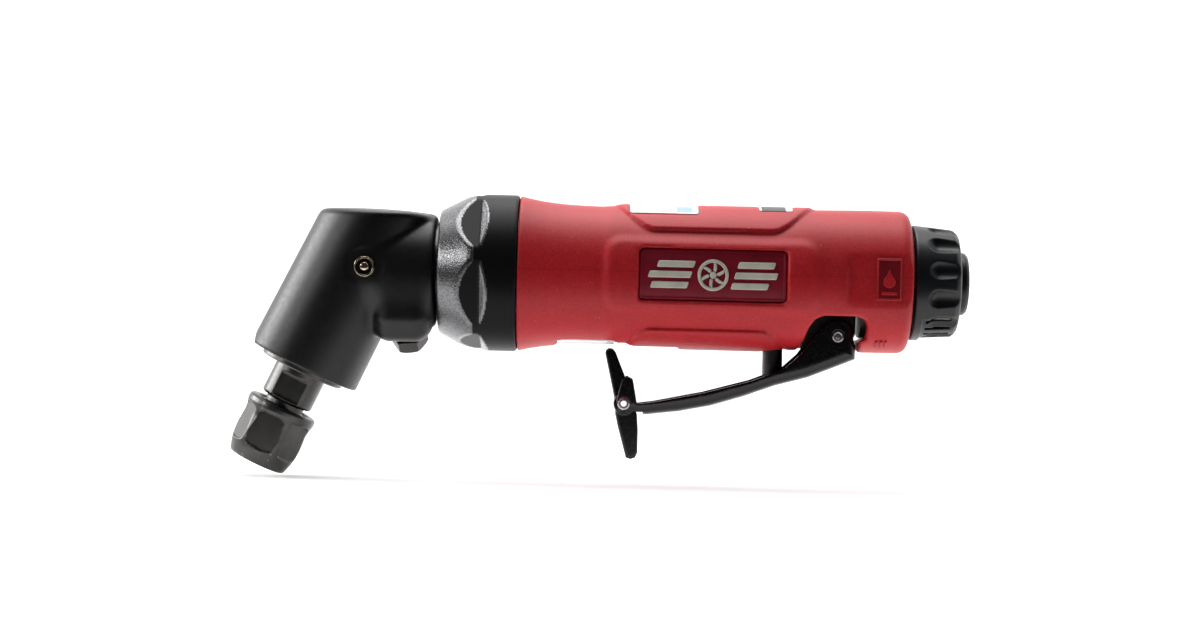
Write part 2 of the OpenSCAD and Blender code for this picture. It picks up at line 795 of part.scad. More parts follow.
module lever_pin() color([0.62, 0.62, 0.64]) on_hinge() {
    reach = lever_w / 2 + 0.3;
    turned([
        [-reach, 0], [-reach, lever_pin_d / 2 - 0.3], [0.3 - reach, lever_pin_d / 2],
        [reach - 0.3, lever_pin_d / 2], [reach, lever_pin_d / 2 - 0.3], [reach, 0]
    ]);
}

// Local +Z runs along +Y on the catch's pin
module on_catch_pin() {
    translate([catch_x, 0, catch_z]) rotate([-90, 0, 0]) children();
}

module safety_catch() color([0.05, 0.05, 0.055]) difference() {
    union() {
        side_plate(catch_w) polygon([
            [catch_x - 2.2, catch_z + 0.5], [63.9, -19.5], [64, -18.6], [64.7, -18],
            [65.8, -18.1], [66.6, -19], [catch_x + 1.7, catch_z + 3.4],
            [catch_x + 2.2, catch_z + 0.5], [72.3, -34.5], [72.6, -38.5], [72.6, -44],
            [72, -45.3], [70.8, -45.7], [69.6, -45.3], [67.4, -37.5],
            [catch_x - 2.1, catch_z - 2.6]
        ]);
        on_catch_pin() bar(-3.9, 2.4, 2.5);
    }
    on_catch_pin() bar(-20, 20, catch_pin_r + 0.05);
}

module catch_pin() color([0.55, 0.55, 0.57]) on_catch_pin()
    tube(-lever_front_w / 2 - 0.3, lever_front_w / 2 + 0.3, catch_pin_r, 0.75);

module catch_spring() color([0.6, 0.6, 0.62]) {
    coil_r = 1.95;
    turns = 1.5;
    pitch = 0.44;
    coil_y = 3.15;
    wire_r = 0.2;
    leg_len = 6;
    leg_lean = -8;
    on_catch_pin() translate([0, 0, coil_y])
        rotate(180) wire(helix(coil_r, turns, pitch, 16), wire_r);
    translate([catch_x + coil_r - 0.1, coil_y, catch_z])
        rotate([0, leg_lean, 0]) cylinder(h = leg_len, r = wire_r);
}

// Rear end ---------------------------------------------------------------------

module exhaust_deflector() color([0.1, 0.1, 0.105]) difference() {
    front_r = 14.4;
    rear_r = 13.4;
    flute_r = 2.9;
    flute_reach = 16.1;
    flute_x = 145.6;
    panel_r = 13.3;
    along_x() turned([
        [grip_end + 0.2, 12.2], [grip_end + 0.2, front_r], [149.6, rear_r],
        [150.9, 12.3], [deflector_end, 9.2], [deflector_end, bushing_r + seat_gap],
        [149.4, bushing_r + seat_gap], [149.4, 12.2]
    ]);
    for (i = [0 : 11])
        if (i < 5 || i > 7)
            rotate([-43 + i * 30, 0, 0]) translate([flute_x, -flute_reach, 0]) {
                sphere(flute_r);
                rotate([0, 90, 0]) cylinder(h = 12, r = flute_r);
            }
    for (turn = [-44 : 11 : 44])
        rotate([turn, 0, 0]) translate([142.6, -0.4, -20]) cube([6.4, 0.8, 10]);
}

module muffler_felt() color([0.6, 0.57, 0.5]) along_x()
    tube(140.2, 149.2, 12, 8.3);

module inlet_bushing() color([0.09, 0.09, 0.095]) along_x() difference() {
    head_r = 8;
    head_x = deflector_end + 0.1;
    turned([
        [127.1, 4.4], [127.1, bushing_r], [129.4, bushing_r], [129.4, 6.7],
        [130.8, 6.7], [130.8, bushing_r], [head_x, bushing_r], [head_x, head_r],
        [tool_len - 0.9, head_r], [tool_len, head_r - 0.9],
        [tool_len, inlet_bore_d / 2], [tool_len - 17, inlet_bore_d / 2],
        [tool_len - 17, 4.4]
    ]);
}

module inlet_screen() color([0.7, 0.7, 0.66]) along_x() difference() {
    bar(125.8, 126.8, 5.5);
    bar(120, 130, 0.5);
    for (ring = [1, 2, 3], i = [0 : ring * 6 - 1])
        rotate(i * 60 / ring) translate([ring * 1.5, 0, 120]) cylinder(h = 12, r = 0.5);
}

module inlet_o_ring() color([0.06, 0.06, 0.06]) along_x(130.1)
    rotate_extrude() translate([7.28, 0]) circle(0.5);

in_frame() head_housing();
in_frame() grease_fitting();
in_frame() clamp_bolt();
in_frame() spindle();
in_frame() lower_spindle_bearing();
in_frame() upper_spindle_bearing();
in_frame() spindle_outer_spacer();
in_frame() spindle_inner_spacer();
in_frame() bearing_retainer();
in_frame() driven_gear();
in_frame() gear_nut();
in_frame() collet();
in_frame() collet_nut();
in_frame() pinion();
in_frame() pinion_cartridge();
in_frame() front_pinion_bearing();
in_frame() rear_pinion_bearing();
in_frame() pinion_bearing_spacer();
in_frame() pinion_snap_ring();
in_frame() clamp_nut();
in_frame() nut_snap_ring();
in_frame() motor_housing();
in_frame() front_end_plate();
in_frame() front_rotor_bearing();
in_frame() motor_cylinder();
in_frame() rotor();
in_frame() rotor_vanes();
in_frame() rear_end_plate();
in_frame() rear_rotor_bearing();
in_frame() cylinder_pin();
in_frame() valve_housing();
in_frame() housing_gasket();
in_frame() valve_seat();
in_frame() throttle_valve();
in_frame() throttle_stem();
in_frame() stem_o_ring();
in_frame() valve_spring();
in_frame() valve_cap();
in_frame() grip();
in_frame() side_badges();
in_frame() oil_plate();
in_frame() top_label();
in_frame() rear_top_label();
in_frame() bottom_label();
in_frame() lever();
in_frame() lever_pin();
in_frame() safety_catch();
in_frame() catch_pin();
in_frame() catch_spring();
in_frame() exhaust_deflector();
in_frame() muffler_felt();
in_frame() inlet_bushing();
in_frame() inlet_screen();
in_frame() inlet_o_ring();
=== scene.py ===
import json
import math

import bmesh
import bpy
import numpy as np
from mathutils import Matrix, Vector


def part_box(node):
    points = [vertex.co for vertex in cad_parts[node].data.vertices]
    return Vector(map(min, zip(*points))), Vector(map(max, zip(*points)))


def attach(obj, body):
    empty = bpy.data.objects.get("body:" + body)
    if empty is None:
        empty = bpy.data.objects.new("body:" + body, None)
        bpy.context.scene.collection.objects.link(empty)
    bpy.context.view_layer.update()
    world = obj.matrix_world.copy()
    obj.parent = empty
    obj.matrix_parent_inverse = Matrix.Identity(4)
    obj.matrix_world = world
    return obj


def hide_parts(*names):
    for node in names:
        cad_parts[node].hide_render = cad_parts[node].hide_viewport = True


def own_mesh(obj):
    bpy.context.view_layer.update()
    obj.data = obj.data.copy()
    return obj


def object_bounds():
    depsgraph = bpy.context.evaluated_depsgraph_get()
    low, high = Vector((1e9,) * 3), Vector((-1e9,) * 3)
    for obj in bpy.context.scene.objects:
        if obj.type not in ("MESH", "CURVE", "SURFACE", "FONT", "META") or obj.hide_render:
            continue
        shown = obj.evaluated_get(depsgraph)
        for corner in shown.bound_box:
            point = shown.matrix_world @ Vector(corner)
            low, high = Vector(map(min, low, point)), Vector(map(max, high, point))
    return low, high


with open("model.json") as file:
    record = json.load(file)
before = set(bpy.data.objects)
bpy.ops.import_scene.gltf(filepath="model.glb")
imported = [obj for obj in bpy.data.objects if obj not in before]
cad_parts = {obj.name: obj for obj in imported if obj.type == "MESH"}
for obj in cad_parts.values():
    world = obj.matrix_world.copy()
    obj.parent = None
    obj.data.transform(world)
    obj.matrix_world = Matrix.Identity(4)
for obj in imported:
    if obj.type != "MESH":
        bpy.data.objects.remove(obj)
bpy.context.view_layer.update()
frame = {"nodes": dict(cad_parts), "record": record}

import openvdb
from mathutils import Matrix, Vector

# ------------------------------------------------------------------ the frame
# Shapes are worked out in millimetres, with the handle's axis along X and the
# point where the spindle's axis crosses it at x = 0, and then moved to the frame.
MM = 0.001
joints = {j["name"]: j for j in frame["record"]["behaviour"]["joints"]}
APEX = Vector(joints["rotor_spin"]["pos_m"])
SPINDLE = Vector(joints["spindle_spin"]["axis"])
HINGE = (Vector(joints["lever_press"]["pos_m"]) - APEX) / MM
CATCH = (Vector(joints["catch_turn"]["pos_m"]) - APEX) / MM
SIN_TILT, COS_TILT = -SPINDLE.x, -SPINDLE.z


def span(node):
    """A CAD node's lowest and highest corners, in millimetres from the crossing point."""
    low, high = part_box(node)
    return (Vector(low) - APEX) / MM, (Vector(high) - APEX) / MM


def place(point):
    """Millimetres from the crossing point to metres in the frame."""
    return APEX + Vector(point) * MM


# ------------------------------------------------- distance fields and meshes
def smooth_min(a, b, k):
    h = np.clip(0.5 + 0.5 * (b - a) / k, 0, 1)
    return b + (a - b) * h - k * h * (1 - h)


def smooth_max(a, b, k):
    return -smooth_min(-a, -b, k)


def step_up(value, low, high):
    t = np.clip((value - low) / (high - low), 0, 1)
    return t * t * (3 - 2 * t)


def polygon_distance(px, py, corners):
    """Signed distance to a closed outline, negative inside."""
    shape = np.broadcast(px, py).shape
    best = np.full(shape, 1e9, dtype=np.float32)
    inside = np.zeros(shape, dtype=bool)
    for (ax, ay), (bx, by) in zip(corners, corners[1:] + corners[:1]):
        ex, ey = bx - ax, by - ay
        wx, wy = px - ax, py - ay
        share = np.clip((wx * ex + wy * ey) / max(ex * ex + ey * ey, 1e-12), 0, 1)
        best = np.minimum(best, (wx - share * ex) ** 2 + (wy - share * ey) ** 2)
        if ay != by:
            crosses = (ay > py) != (by > py)
            inside ^= crosses & (px < ex * (py - ay) / ey + ax)
    return np.where(inside, -1, 1) * np.sqrt(best)


def rounded_box(dx, dy, half_x, half_y, r):
    """Distance to a rectangle with round corners, from offsets to its centre."""
    qx = np.abs(dx) - half_x + r
    qy = np.abs(dy) - half_y + r
    return np.hypot(np.maximum(qx, 0), np.maximum(qy, 0)) + np.minimum(np.maximum(qx, qy), 0) - r


def blurred(table, width, axis):
    """Running mean along one axis, which rounds a distance field's corners."""
    reach = int(round(width))
    if reach < 1:
        return table
    padded = np.pad(table, [(reach, reach) if a == axis else (0, 0) for a in (0, 1)], "edge")
    parts = [np.take(padded, range(k, k + table.shape[axis]), axis=axis) for k in range(2 * reach + 1)]
    return sum(parts) / len(parts)


def turned_table(station, rho, profile, round_by=0.0):
    """Distance to a solid turned about the axis that station runs along, from
    (station, radius) pairs. Each slab across the axis is looked up in its own row."""
    axis = int(np.argmax(station.shape))
    stations = station.ravel()
    radii = np.arange(0, float(rho.max()) + 0.2, 0.1, dtype=np.float32)
    table = polygon_distance(stations[:, None], radii[None, :], profile)
    table = blurred(blurred(table, round_by / 0.1, 1), round_by / (stations[1] - stations[0]), 0)
    slab = np.take(rho, 0, axis=axis)
    rows = [np.interp(slab, radii, row).astype(np.float32) for row in table]
    return np.stack(rows, axis=axis)


def mesh_from_field(name, field, low, high, step, to_frame=place):
    """Meshes the zero surface of a distance field over a box, in millimetres."""
    axes = [np.arange(a, b + step, step, dtype=np.float32) for a, b in zip(low, high)]
    x, y, z = axes[0][:, None, None], axes[1][None, :, None], axes[2][None, None, :]
    values = np.ascontiguousarray(np.broadcast_to(
        field(x, y, z), (x.size, y.size, z.size)), dtype=np.float32)
    values = np.clip(values, -3 * step, 3 * step)
    grid = openvdb.FloatGrid(3 * step)
    grid.copyFromArray(values)
    points, triangles, quads = grid.convertToPolygons(isovalue=0.0, adaptivity=0.0)
    points = points * step + np.array(low, dtype=np.float32)
    mesh = bpy.data.meshes.new(name)
    faces = [tuple(map(int, f)) for f in triangles] + [tuple(map(int, f)) for f in quads]
    mesh.from_pydata([to_frame(map(float, p)) for p in points], [], faces)
    return finish_mesh(name, mesh)


def lathe(name, to_frame, profile, round_by, closed=False, steps=96):
    """A turned surface about local z from (station, radius) pairs, its corners rounded."""
    points = []
    count = len(profile)
    for i, (station, radius) in enumerate(profile):
        if not closed and i in (0, count - 1):
            points.append((station, radius))
            continue
        here = Vector((station, radius))
        before = Vector(profile[i - 1]) - here
        after = Vector(profile[(i + 1) % count]) - here
        a = here + before * min(round_by / before.length, 0.45)
        b = here + after * min(round_by / after.length, 0.45)
        for share in (0, 0.25, 0.5, 0.75, 1):
            point = a.lerp(here, share).lerp(here.lerp(b, share), share)
            points.append((point.x, point.y))
    rings = [[to_frame((r * math.cos(2 * math.pi * k / steps), r * math.sin(2 * math.pi * k / steps), t))
              for k in range(steps)] for t, r in points]
    faces = []
    for i in range(len(rings) - (0 if closed else 1)):
        j = (i + 1) % len(rings)
        for k in range(steps):
            n = (k + 1) % steps
            faces.append((i * steps + k, i * steps + n, j * steps + n, j * steps + k))
    mesh = bpy.data.meshes.new(name)
    mesh.from_pydata([p for ring in rings for p in ring], [], faces)
    bm = bmesh.new()
    bm.from_mesh(mesh)
    bmesh.ops.remove_doubles(bm, verts=bm.verts, dist=1e-7)
    bm.to_mesh(mesh)
    bm.free()
    return finish_mesh(name, mesh)


def coil(name, x, radius, wire, low, high, turns):
    """Round wire wound about an upright axis on the handle's centre plane."""
    sides, steps = 10, 28
    count = turns * steps
    points = []
    for i in range(count + 1):
        a = 2 * math.pi * i / steps
        z = low + (high - low) * i / count
        for k in range(sides):
            b = 2 * math.pi * k / sides
            r = radius + wire * math.cos(b)
            points.append(place((x + r * math.cos(a), r * math.sin(a), z + wire * math.sin(b))))
    faces = [tuple(range(sides)), tuple(range(count * sides, (count + 1) * sides))]
    for i in range(count):
        for k in range(sides):
            n = (k + 1) % sides
            here, after = i * sides, (i + 1) * sides
            faces.append((here + k, here + n, after + n, after + k))
    mesh = bpy.data.meshes.new(name)
    mesh.from_pydata(points, [], faces)
    return finish_mesh(name, mesh)


BODY_OF = {node: body for body, nodes in frame["record"]["behaviour"]["bodies"].items() for node in nodes}
SLOT_OF = {entry["node"]: entry["material_slot"] for entry in frame["record"]["subparts"]}


def finish_piece(piece, node, stuff=None):
    """The piece takes the CAD node's place, body and material slot."""
    piece.data.materials.append(MATERIALS[stuff or SLOT_OF[node]])
    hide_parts(node)
    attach(piece, BODY_OF[node])


def finish_mesh(name, mesh):
    """Turns the faces outward, shades them and links the object."""
    bm = bmesh.new()
    bm.from_mesh(mesh)
    bmesh.ops.recalc_face_normals(bm, faces=bm.faces)
    if bm.calc_volume(signed=True) < 0:
        bmesh.ops.reverse_faces(bm, faces=bm.faces)
    for face in bm.faces:
        face.smooth = True
    bm.to_mesh(mesh)
    bm.free()
    piece = bpy.data.objects.new(name, mesh)
    bpy.context.scene.collection.objects.link(piece)
    return piece


# ------------------------------------------------------------------ materials
def material(name, colour, rough, metal=0.0, shine=0.5):
    """A Principled material with its node tree's handy parts."""
    mat = bpy.data.materials.new(name)
    mat.use_nodes = True
    shader = mat.node_tree.nodes["Principled BSDF"]
    shader.inputs["Base Color"].default_value = (*colour, 1)
    shader.inputs["Roughness"].default_value = rough
    shader.inputs["Metallic"].default_value = metal
    shader.inputs["Specular IOR Level"].default_value = shine
    return mat, mat.node_tree, shader


def shade(colour, factor):
    """A colour made darker or lighter."""
    return tuple(min(c * factor, 1) for c in colour)


def coords(tree, scale=(1, 1, 1)):
    """Object coordinates in millimetres, stretched by scale."""
    source = tree.nodes.new("ShaderNodeTexCoord")
    stretch = tree.nodes.new("ShaderNodeMapping")
    stretch.inputs["Scale"].default_value = [s / MM for s in scale]
    tree.links.new(source.outputs["Object"], stretch.inputs["Vector"])
    return stretch.outputs["Vector"]


def noise(tree, vector, scale, detail=2.0, rough=0.5):
    node = tree.nodes.new("ShaderNodeTexNoise")
    node.inputs["Scale"].default_value = scale
    node.inputs["Detail"].default_value = detail
    node.inputs["Roughness"].default_value = rough
    tree.links.new(vector, node.inputs["Vector"])
    return node.outputs["Fac"]


def ramp(tree, value, stops):
    """Colours or greys over a value, from [position, colour] pairs."""
    node = tree.nodes.new("ShaderNodeValToRGB")
    elements = node.color_ramp.elements
    while len(elements) < len(stops):
        elements.new(0.5)
    for element, (where, colour) in zip(elements, stops):
        element.position = where
        rgb = colour if isinstance(colour, (tuple, list)) else (colour,) * 3
        element.color = (*rgb, 1)
    tree.links.new(value, node.inputs["Fac"])
    return node.outputs["Color"]


def bump(tree, shader, height, strength, distance, after=None):
    node = tree.nodes.new("ShaderNodeBump")
    node.inputs["Strength"].default_value = strength
    node.inputs["Distance"].default_value = distance * MM
    tree.links.new(height, node.inputs["Height"])
    if after is not None:
        tree.links.new(after, node.inputs["Normal"])
    tree.links.new(node.outputs["Normal"], shader.inputs["Normal"])
    return node.outputs["Normal"]


def edge_wear_and_highlight(tree, low, high):
    """Bright on convex edges, from the geometry's pointiness: real rubbed wear on coated metal, a painted
    highlight on plastic edges.
    """
    geometry = tree.nodes.new("ShaderNodeNewGeometry")
    return ramp(tree, geometry.outputs["Pointiness"], [(low, 0.0), (high, 1.0)])


def mix_colour(tree, factor, a, b, share=0.5):
    """a and b mixed by factor, or by the fixed share where there is no factor."""
    node = tree.nodes.new("ShaderNodeMix")
    node.data_type = "RGBA"
    node.inputs["Factor"].default_value = share
    for socket, value in ((node.inputs["A"], a), (node.inputs["B"], b)):
        if isinstance(value, bpy.types.NodeSocket):
            tree.links.new(value, socket)
        else:
            socket.default_value = (*value, 1)
    if factor is not None:
        tree.links.new(factor, node.inputs["Factor"])
    return node.outputs["Result"]


def coated_metal(name, colour, rough, spread, grain, grain_depth, wear=None, shine=0.25, metal=0.0):
    """Painted, anodised or oxidised metal: mottled gloss, fine grain and dust."""
    mat, tree, shader = material(name, colour, rough, metal, shine)
    where = coords(tree)
    cloud = noise(tree, where, 0.35, 4.0)
    tint = ramp(tree, cloud, [(0.3, shade(colour, 0.88)), (0.7, shade(colour, 1.14))])
    specks = ramp(tree, noise(tree, where, 1.7, 2.0, 0.8), [(0.76, 0.0), (0.8, 1.0)])
    tint = mix_colour(tree, specks, tint, tuple(c * 1.5 + 0.012 for c in colour))
    if wear:
        tint = mix_colour(tree, edge_wear_and_highlight(tree, 0.53, 0.62), tint, wear)
    tree.links.new(tint, shader.inputs["Base Color"])
    gloss = ramp(tree, noise(tree, where, 1.1, 5.0), [(0.25, rough - spread), (0.75, rough + spread)])
    tree.links.new(gloss, shader.inputs["Roughness"])
    bump(tree, shader, noise(tree, where, grain, 3.0, 0.6), 0.6, grain_depth)
    return mat


def cast_ring(name):
    """The clamp nut's coating: grainy and glossy on the cast cone, smooth on flats and rim."""
    mat, tree, shader = material(name, (0.006, 0.006, 0.007), 0.3, shine=0.12)
    where = coords(tree)
    grain = tree.nodes.new("ShaderNodeAttribute")
    grain.attribute_name = "grain"
    rough_cast = ramp(tree, noise(tree, where, 2.4, 2.0, 0.6), [(0.36, 0.0), (0.64, 1.0)])
    cast = ramp(tree, rough_cast, [(0.0, (0.12, 0.12, 0.125)), (1.0, (0.22, 0.22, 0.225))])
    tint = mix_colour(tree, grain.outputs["Fac"], (0.005, 0.005, 0.006), cast)
    tree.links.new(tint, shader.inputs["Base Color"])
    metal = tree.nodes.new("ShaderNodeMath")
    metal.operation = "MULTIPLY"
    metal.inputs[1].default_value = 0.9
    tree.links.new(grain.outputs["Fac"], metal.inputs[0])
    tree.links.new(metal.outputs[0], shader.inputs["Metallic"])
    gloss = mix_colour(tree, grain.outputs["Fac"], (0.4, 0.4, 0.4), (0.25, 0.25, 0.25))
    tree.links.new(gloss, shader.inputs["Roughness"])
    height = mix_colour(tree, grain.outputs["Fac"], (0, 0, 0), rough_cast)
    coarse = bump(tree, shader, height, 0.65, 0.03)
    fine = tree.nodes.new("ShaderNodeBump")
    fine.inputs["Strength"].default_value = 0.5
    fine.inputs["Distance"].default_value = 0.02 * MM
    tree.links.new(noise(tree, where, 4.0, 2.0), fine.inputs["Height"])
    tree.links.new(coarse, fine.inputs["Normal"])
    tree.links.new(fine.outputs["Normal"], shader.inputs["Normal"])
    return mat


def bare_metal(name, colour, rough, lines):
    """Turned or ground metal: fine lines, slight stains."""
    mat, tree, shader = material(name, colour, rough, 1.0)
    where = coords(tree, (lines, 1, 1))
    tint = ramp(tree, noise(tree, coords(tree), 0.8, 4.0),
                [(0.3, shade(colour, 0.75)), (0.7, colour)])
    tree.links.new(tint, shader.inputs["Base Color"])
    streak = noise(tree, where, 3.0, 3.0, 0.7)
    gloss = ramp(tree, streak, [(0.2, rough - 0.08), (0.8, rough + 0.1)])
    tree.links.new(gloss, shader.inputs["Roughness"])
    bump(tree, shader, streak, 0.25, 0.02)
    return mat


def plain_stuff(name, colour, rough, grain, depth, spread=0.06, shine=0.4, edges=None):
    """Rubber, plastic, felt or film: slight colour cloud, uneven gloss, grain, and optional paler edges
    painted on as a highlight.
    """
    mat, tree, shader = material(name, colour, rough, shine=shine)
    where = coords(tree)
    tint = ramp(tree, noise(tree, where, 0.25, 3.0),
                [(0.3, shade(colour, 0.85)), (0.7, shade(colour, 1.1))])
    # Paler convex edges here are a painted highlight: lighter colour standing in for light catching the
    # rims.
    if edges:
        tint = mix_colour(tree, edge_wear_and_highlight(tree, 0.52, 0.58), tint, edges)
    tree.links.new(tint, shader.inputs["Base Color"])
    fine = noise(tree, where, grain, 3.0, 0.65)
    gloss = ramp(tree, fine, [(0.25, rough - spread), (0.75, rough + spread)])
    tree.links.new(gloss, shader.inputs["Roughness"])
    bump(tree, shader, fine, 0.6, depth)
    return mat


def axis_value(tree, vector, axis):
    """One coordinate of a vector."""
    split = tree.nodes.new("ShaderNodeSeparateXYZ")
    tree.links.new(vector, split.inputs[0])
    return split.outputs[axis]


def math_node(tree, operation, *values):
    node = tree.nodes.new("ShaderNodeMath")
    node.operation = operation
    for socket, value in zip(node.inputs, values):
        if isinstance(value, bpy.types.NodeSocket):
            tree.links.new(value, socket)
        else:
            socket.default_value = value
    return node.outputs[0]


def inside(tree, value, low, high, soft=0.05):
    """1 where value lies between low and high, with soft ends."""
    middle, half = (low + high) / 2, (high - low) / 2
    away = math_node(tree, "ABSOLUTE", math_node(tree, "SUBTRACT", value, middle))
    share = tree.nodes.new("ShaderNodeMapRange")
    share.inputs["From Min"].default_value = half - soft
    share.inputs["From Max"].default_value = half + soft
    share.inputs["To Min"].default_value = 1.0
    share.inputs["To Max"].default_value = 0.0
    tree.links.new(away, share.inputs["Value"])
    return share.outputs["Result"]


def red_composite():
    """Moulded red composite: fine sparkle grain, mottling, a mould parting line."""
    base = (0.54, 0.012, 0.019)
    mat, tree, shader = material("red_composite", base, 0.46, shine=0.32)
    where = coords(tree)
    cloud = noise(tree, where, 0.09, 4.0)
    tint = ramp(tree, cloud, [(0.3, shade(base, 0.86)), (0.7, shade(base, 1.1))])
    fine = noise(tree, where, 1.9, 3.0, 0.7)
    light_grain = ramp(tree, fine, [(0.35, 0.0), (0.65, 1.0)])
    grain = mix_colour(tree, light_grain, shade(base, 0.66), (0.58, 0.03, 0.04))
    speckled = mix_colour(tree, None, tint, grain, share=0.5)
    dust = ramp(tree, noise(tree, where, 2.3, 1.0, 0.5), [(0.79, 0.0), (0.81, 1.0)])
    dusty = mix_colour(tree, dust, speckled, (0.7, 0.25, 0.24))
    height = axis_value(tree, where, "Z")
    seam = inside(tree, height, 0.8, 1.0, 0.1)
    dusty = mix_colour(tree, math_node(tree, "MULTIPLY", seam, 0.55), dusty, shade(base, 0.5))
    tree.links.new(dusty, shader.inputs["Base Color"])
    tree.links.new(ramp(tree, fine, [(0.3, 0.38), (0.7, 0.54)]), shader.inputs["Roughness"])
    bump(tree, shader, fine, 0.7, 0.035)
    return mat


def label_film(name, patches):
    """White printed film with blocks of colour, given as (x, width, y, height, colour)."""
    base = (0.8, 0.8, 0.8)
    mat, tree, shader = material(name, base, 0.35)
    where = coords(tree)
    along, across = axis_value(tree, where, "X"), axis_value(tree, where, "Y")
    tint = ramp(tree, noise(tree, where, 0.4, 3.0), [(0.3, (0.74, 0.74, 0.75)), (0.7, (0.84, 0.84, 0.84))])
    start = APEX.x / MM
    for x, wide, y, high, colour in patches:
        share = math_node(tree, "MULTIPLY", inside(tree, along, start + x, start + x + wide, 0.08),
                          inside(tree, across, y, y + high, 0.08))
        tint = mix_colour(tree, share, tint, colour)
    tree.links.new(tint, shader.inputs["Base Color"])
    fine = noise(tree, where, 2.0, 3.0)
    tree.links.new(ramp(tree, fine, [(0.25, 0.28), (0.75, 0.42)]), shader.inputs["Roughness"])
    bump(tree, shader, fine, 0.3, 0.01)
    return mat


BLACK_INK = (0.015, 0.015, 0.016)
GREY_INK = (0.35, 0.35, 0.36)
PALE_RED_INK = (0.78, 0.58, 0.6)
PALE_BLUE_INK = (0.35, 0.52, 0.74)
MATERIALS = {
    "black_casting": coated_metal("black_casting", (0.0035, 0.0035, 0.0042), 0.4, 0.05, 2.4, 0.02,
                                  shine=0.42),
    "black_ring": cast_ring("black_ring"),
    "black_oxide": coated_metal("black_oxide", (0.07, 0.068, 0.066), 0.33, 0.04, 2.0, 0.004,
                                (0.17, 0.165, 0.16), 0.5, 0.95),
    "black_lever": coated_metal("black_lever", (0.003, 0.003, 0.0035), 0.24, 0.06, 1.5, 0.012, shine=0.45),
    "brass": bare_metal("brass", (0.82, 0.68, 0.52), 0.2, 6),
    "bronze": bare_metal("bronze", (0.55, 0.43, 0.26), 0.35, 6),
    "spring_steel": bare_metal("spring_steel", (0.6, 0.6, 0.62), 0.25, 3),
    "bearing_steel": bare_metal("bearing_steel", (0.7, 0.71, 0.73), 0.16, 2),
    "machined_steel": bare_metal("machined_steel", (0.62, 0.62, 0.64), 0.26, 8),
    "gear_steel": bare_metal("gear_steel", (0.38, 0.39, 0.41), 0.33, 4),
    "housing_aluminium": bare_metal("housing_aluminium", (0.6, 0.61, 0.62), 0.36, 8),
    "phenolic": plain_stuff("phenolic", (0.2, 0.09, 0.03), 0.6, 4.0, 0.02),
    "black_rubber": plain_stuff("black_rubber", (0.012, 0.012, 0.012), 0.6, 3.0, 0.02),
    # black_plastic's paler edges are a painted highlight on the deflector's flute rims.
    "black_plastic": plain_stuff("black_plastic", (0.006, 0.007, 0.009), 0.38, 2.2, 0.03, shine=0.45,
                                 edges=(0.075, 0.08, 0.085)),
    "felt": plain_stuff("felt", (0.35, 0.32, 0.27), 0.95, 5.0, 0.15),
    "red_composite": red_composite(),
    "badge_red": plain_stuff("badge_red", (0.22, 0.007, 0.02), 0.42, 2.4, 0.02, shine=0.3),
    "plate_red": plain_stuff("plate_red", (0.19, 0.004, 0.009), 0.45, 2.4, 0.02, shine=0.3),
    "ivory_mark": plain_stuff("ivory_mark", (0.6, 0.59, 0.5), 0.5, 2.2, 0.03),
    "label_white": label_film("label_white", []),
    "label_front": label_film("label_front", [
        (75.5, 4.2, -8.6, 3.2, PALE_RED_INK), (80.8, 3.8, -8.6, 3.6, PALE_BLUE_INK),
        (71, 14, 0.5, 0.8, GREY_INK), (71, 12, 2.4, 0.8, GREY_INK),
        (71, 13, 4.3, 0.8, GREY_INK), (71, 9, 6.2, 0.8, GREY_INK)]),
    "label_rear": label_film("label_rear", [(101.8, 6.0, -6.8, 13.6, BLACK_INK)]),
    "label_plain": label_film("label_plain", [
        (53.5, 11, -3.4, 0.7, GREY_INK), (53.5, 11, -1.4, 0.7, GREY_INK),
        (53.5, 7, 0.6, 0.7, GREY_INK), (53.5, 10, 2.6, 0.7, GREY_INK)]),
}


# ------------------------------------------------------------------ the stage
VIEW_WIDTH = 0.300       # width of the view at the handle's axis, in metres
VIEW_DISTANCE = 0.64
SENSOR = 36.0
VIEW_CENTRE = place((62.4, 0, -9.9))
ROLL = math.radians(1.4)


def make_camera():
    data = bpy.data.cameras.new("camera")
    data.sensor_width = SENSOR
    data.lens = SENSOR * VIEW_DISTANCE / VIEW_WIDTH
    camera = bpy.data.objects.new("camera", data)
    bpy.context.scene.collection.objects.link(camera)
    camera.matrix_world = (
        Matrix.Translation(VIEW_CENTRE - Vector((0, VIEW_DISTANCE, 0)))
        @ Matrix.Rotation(-ROLL, 4, "Y")
        @ Matrix.Rotation(math.pi / 2, 4, "X")
    )
    bpy.context.scene.camera = camera


def make_floor():
    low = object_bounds()[0]
    width, front, back, gap = 1.4, 0.09, 0.8, 0.0005
    bpy.ops.mesh.primitive_plane_add(size=1, location=(VIEW_CENTRE.x, (back - front) / 2, low[2] - gap))
    floor = bpy.context.object
    floor.scale = (width, front + back, 1)
    floor.name = "floor"
    mat, tree, shader = material("floor", (0.86, 0.86, 0.86), 0.9)
    shader.inputs["Emission Color"].default_value = (1, 1, 1, 1)
    shader.inputs["Emission Strength"].default_value = 0.3
    floor.data.materials.append(mat)


def soft_light(name, where, aim, size, power, size_y=None):
    data = bpy.data.lights.new(name, "AREA")
    data.shape = "RECTANGLE"
    data.size = size
    data.size_y = size_y or size
    data.energy = power
    lamp = bpy.data.objects.new(name, data)
    bpy.context.scene.collection.objects.link(lamp)
    lamp.location = where
    lamp.rotation_euler = (Vector(aim) - Vector(where)).to_track_quat("-Z", "Y").to_euler()


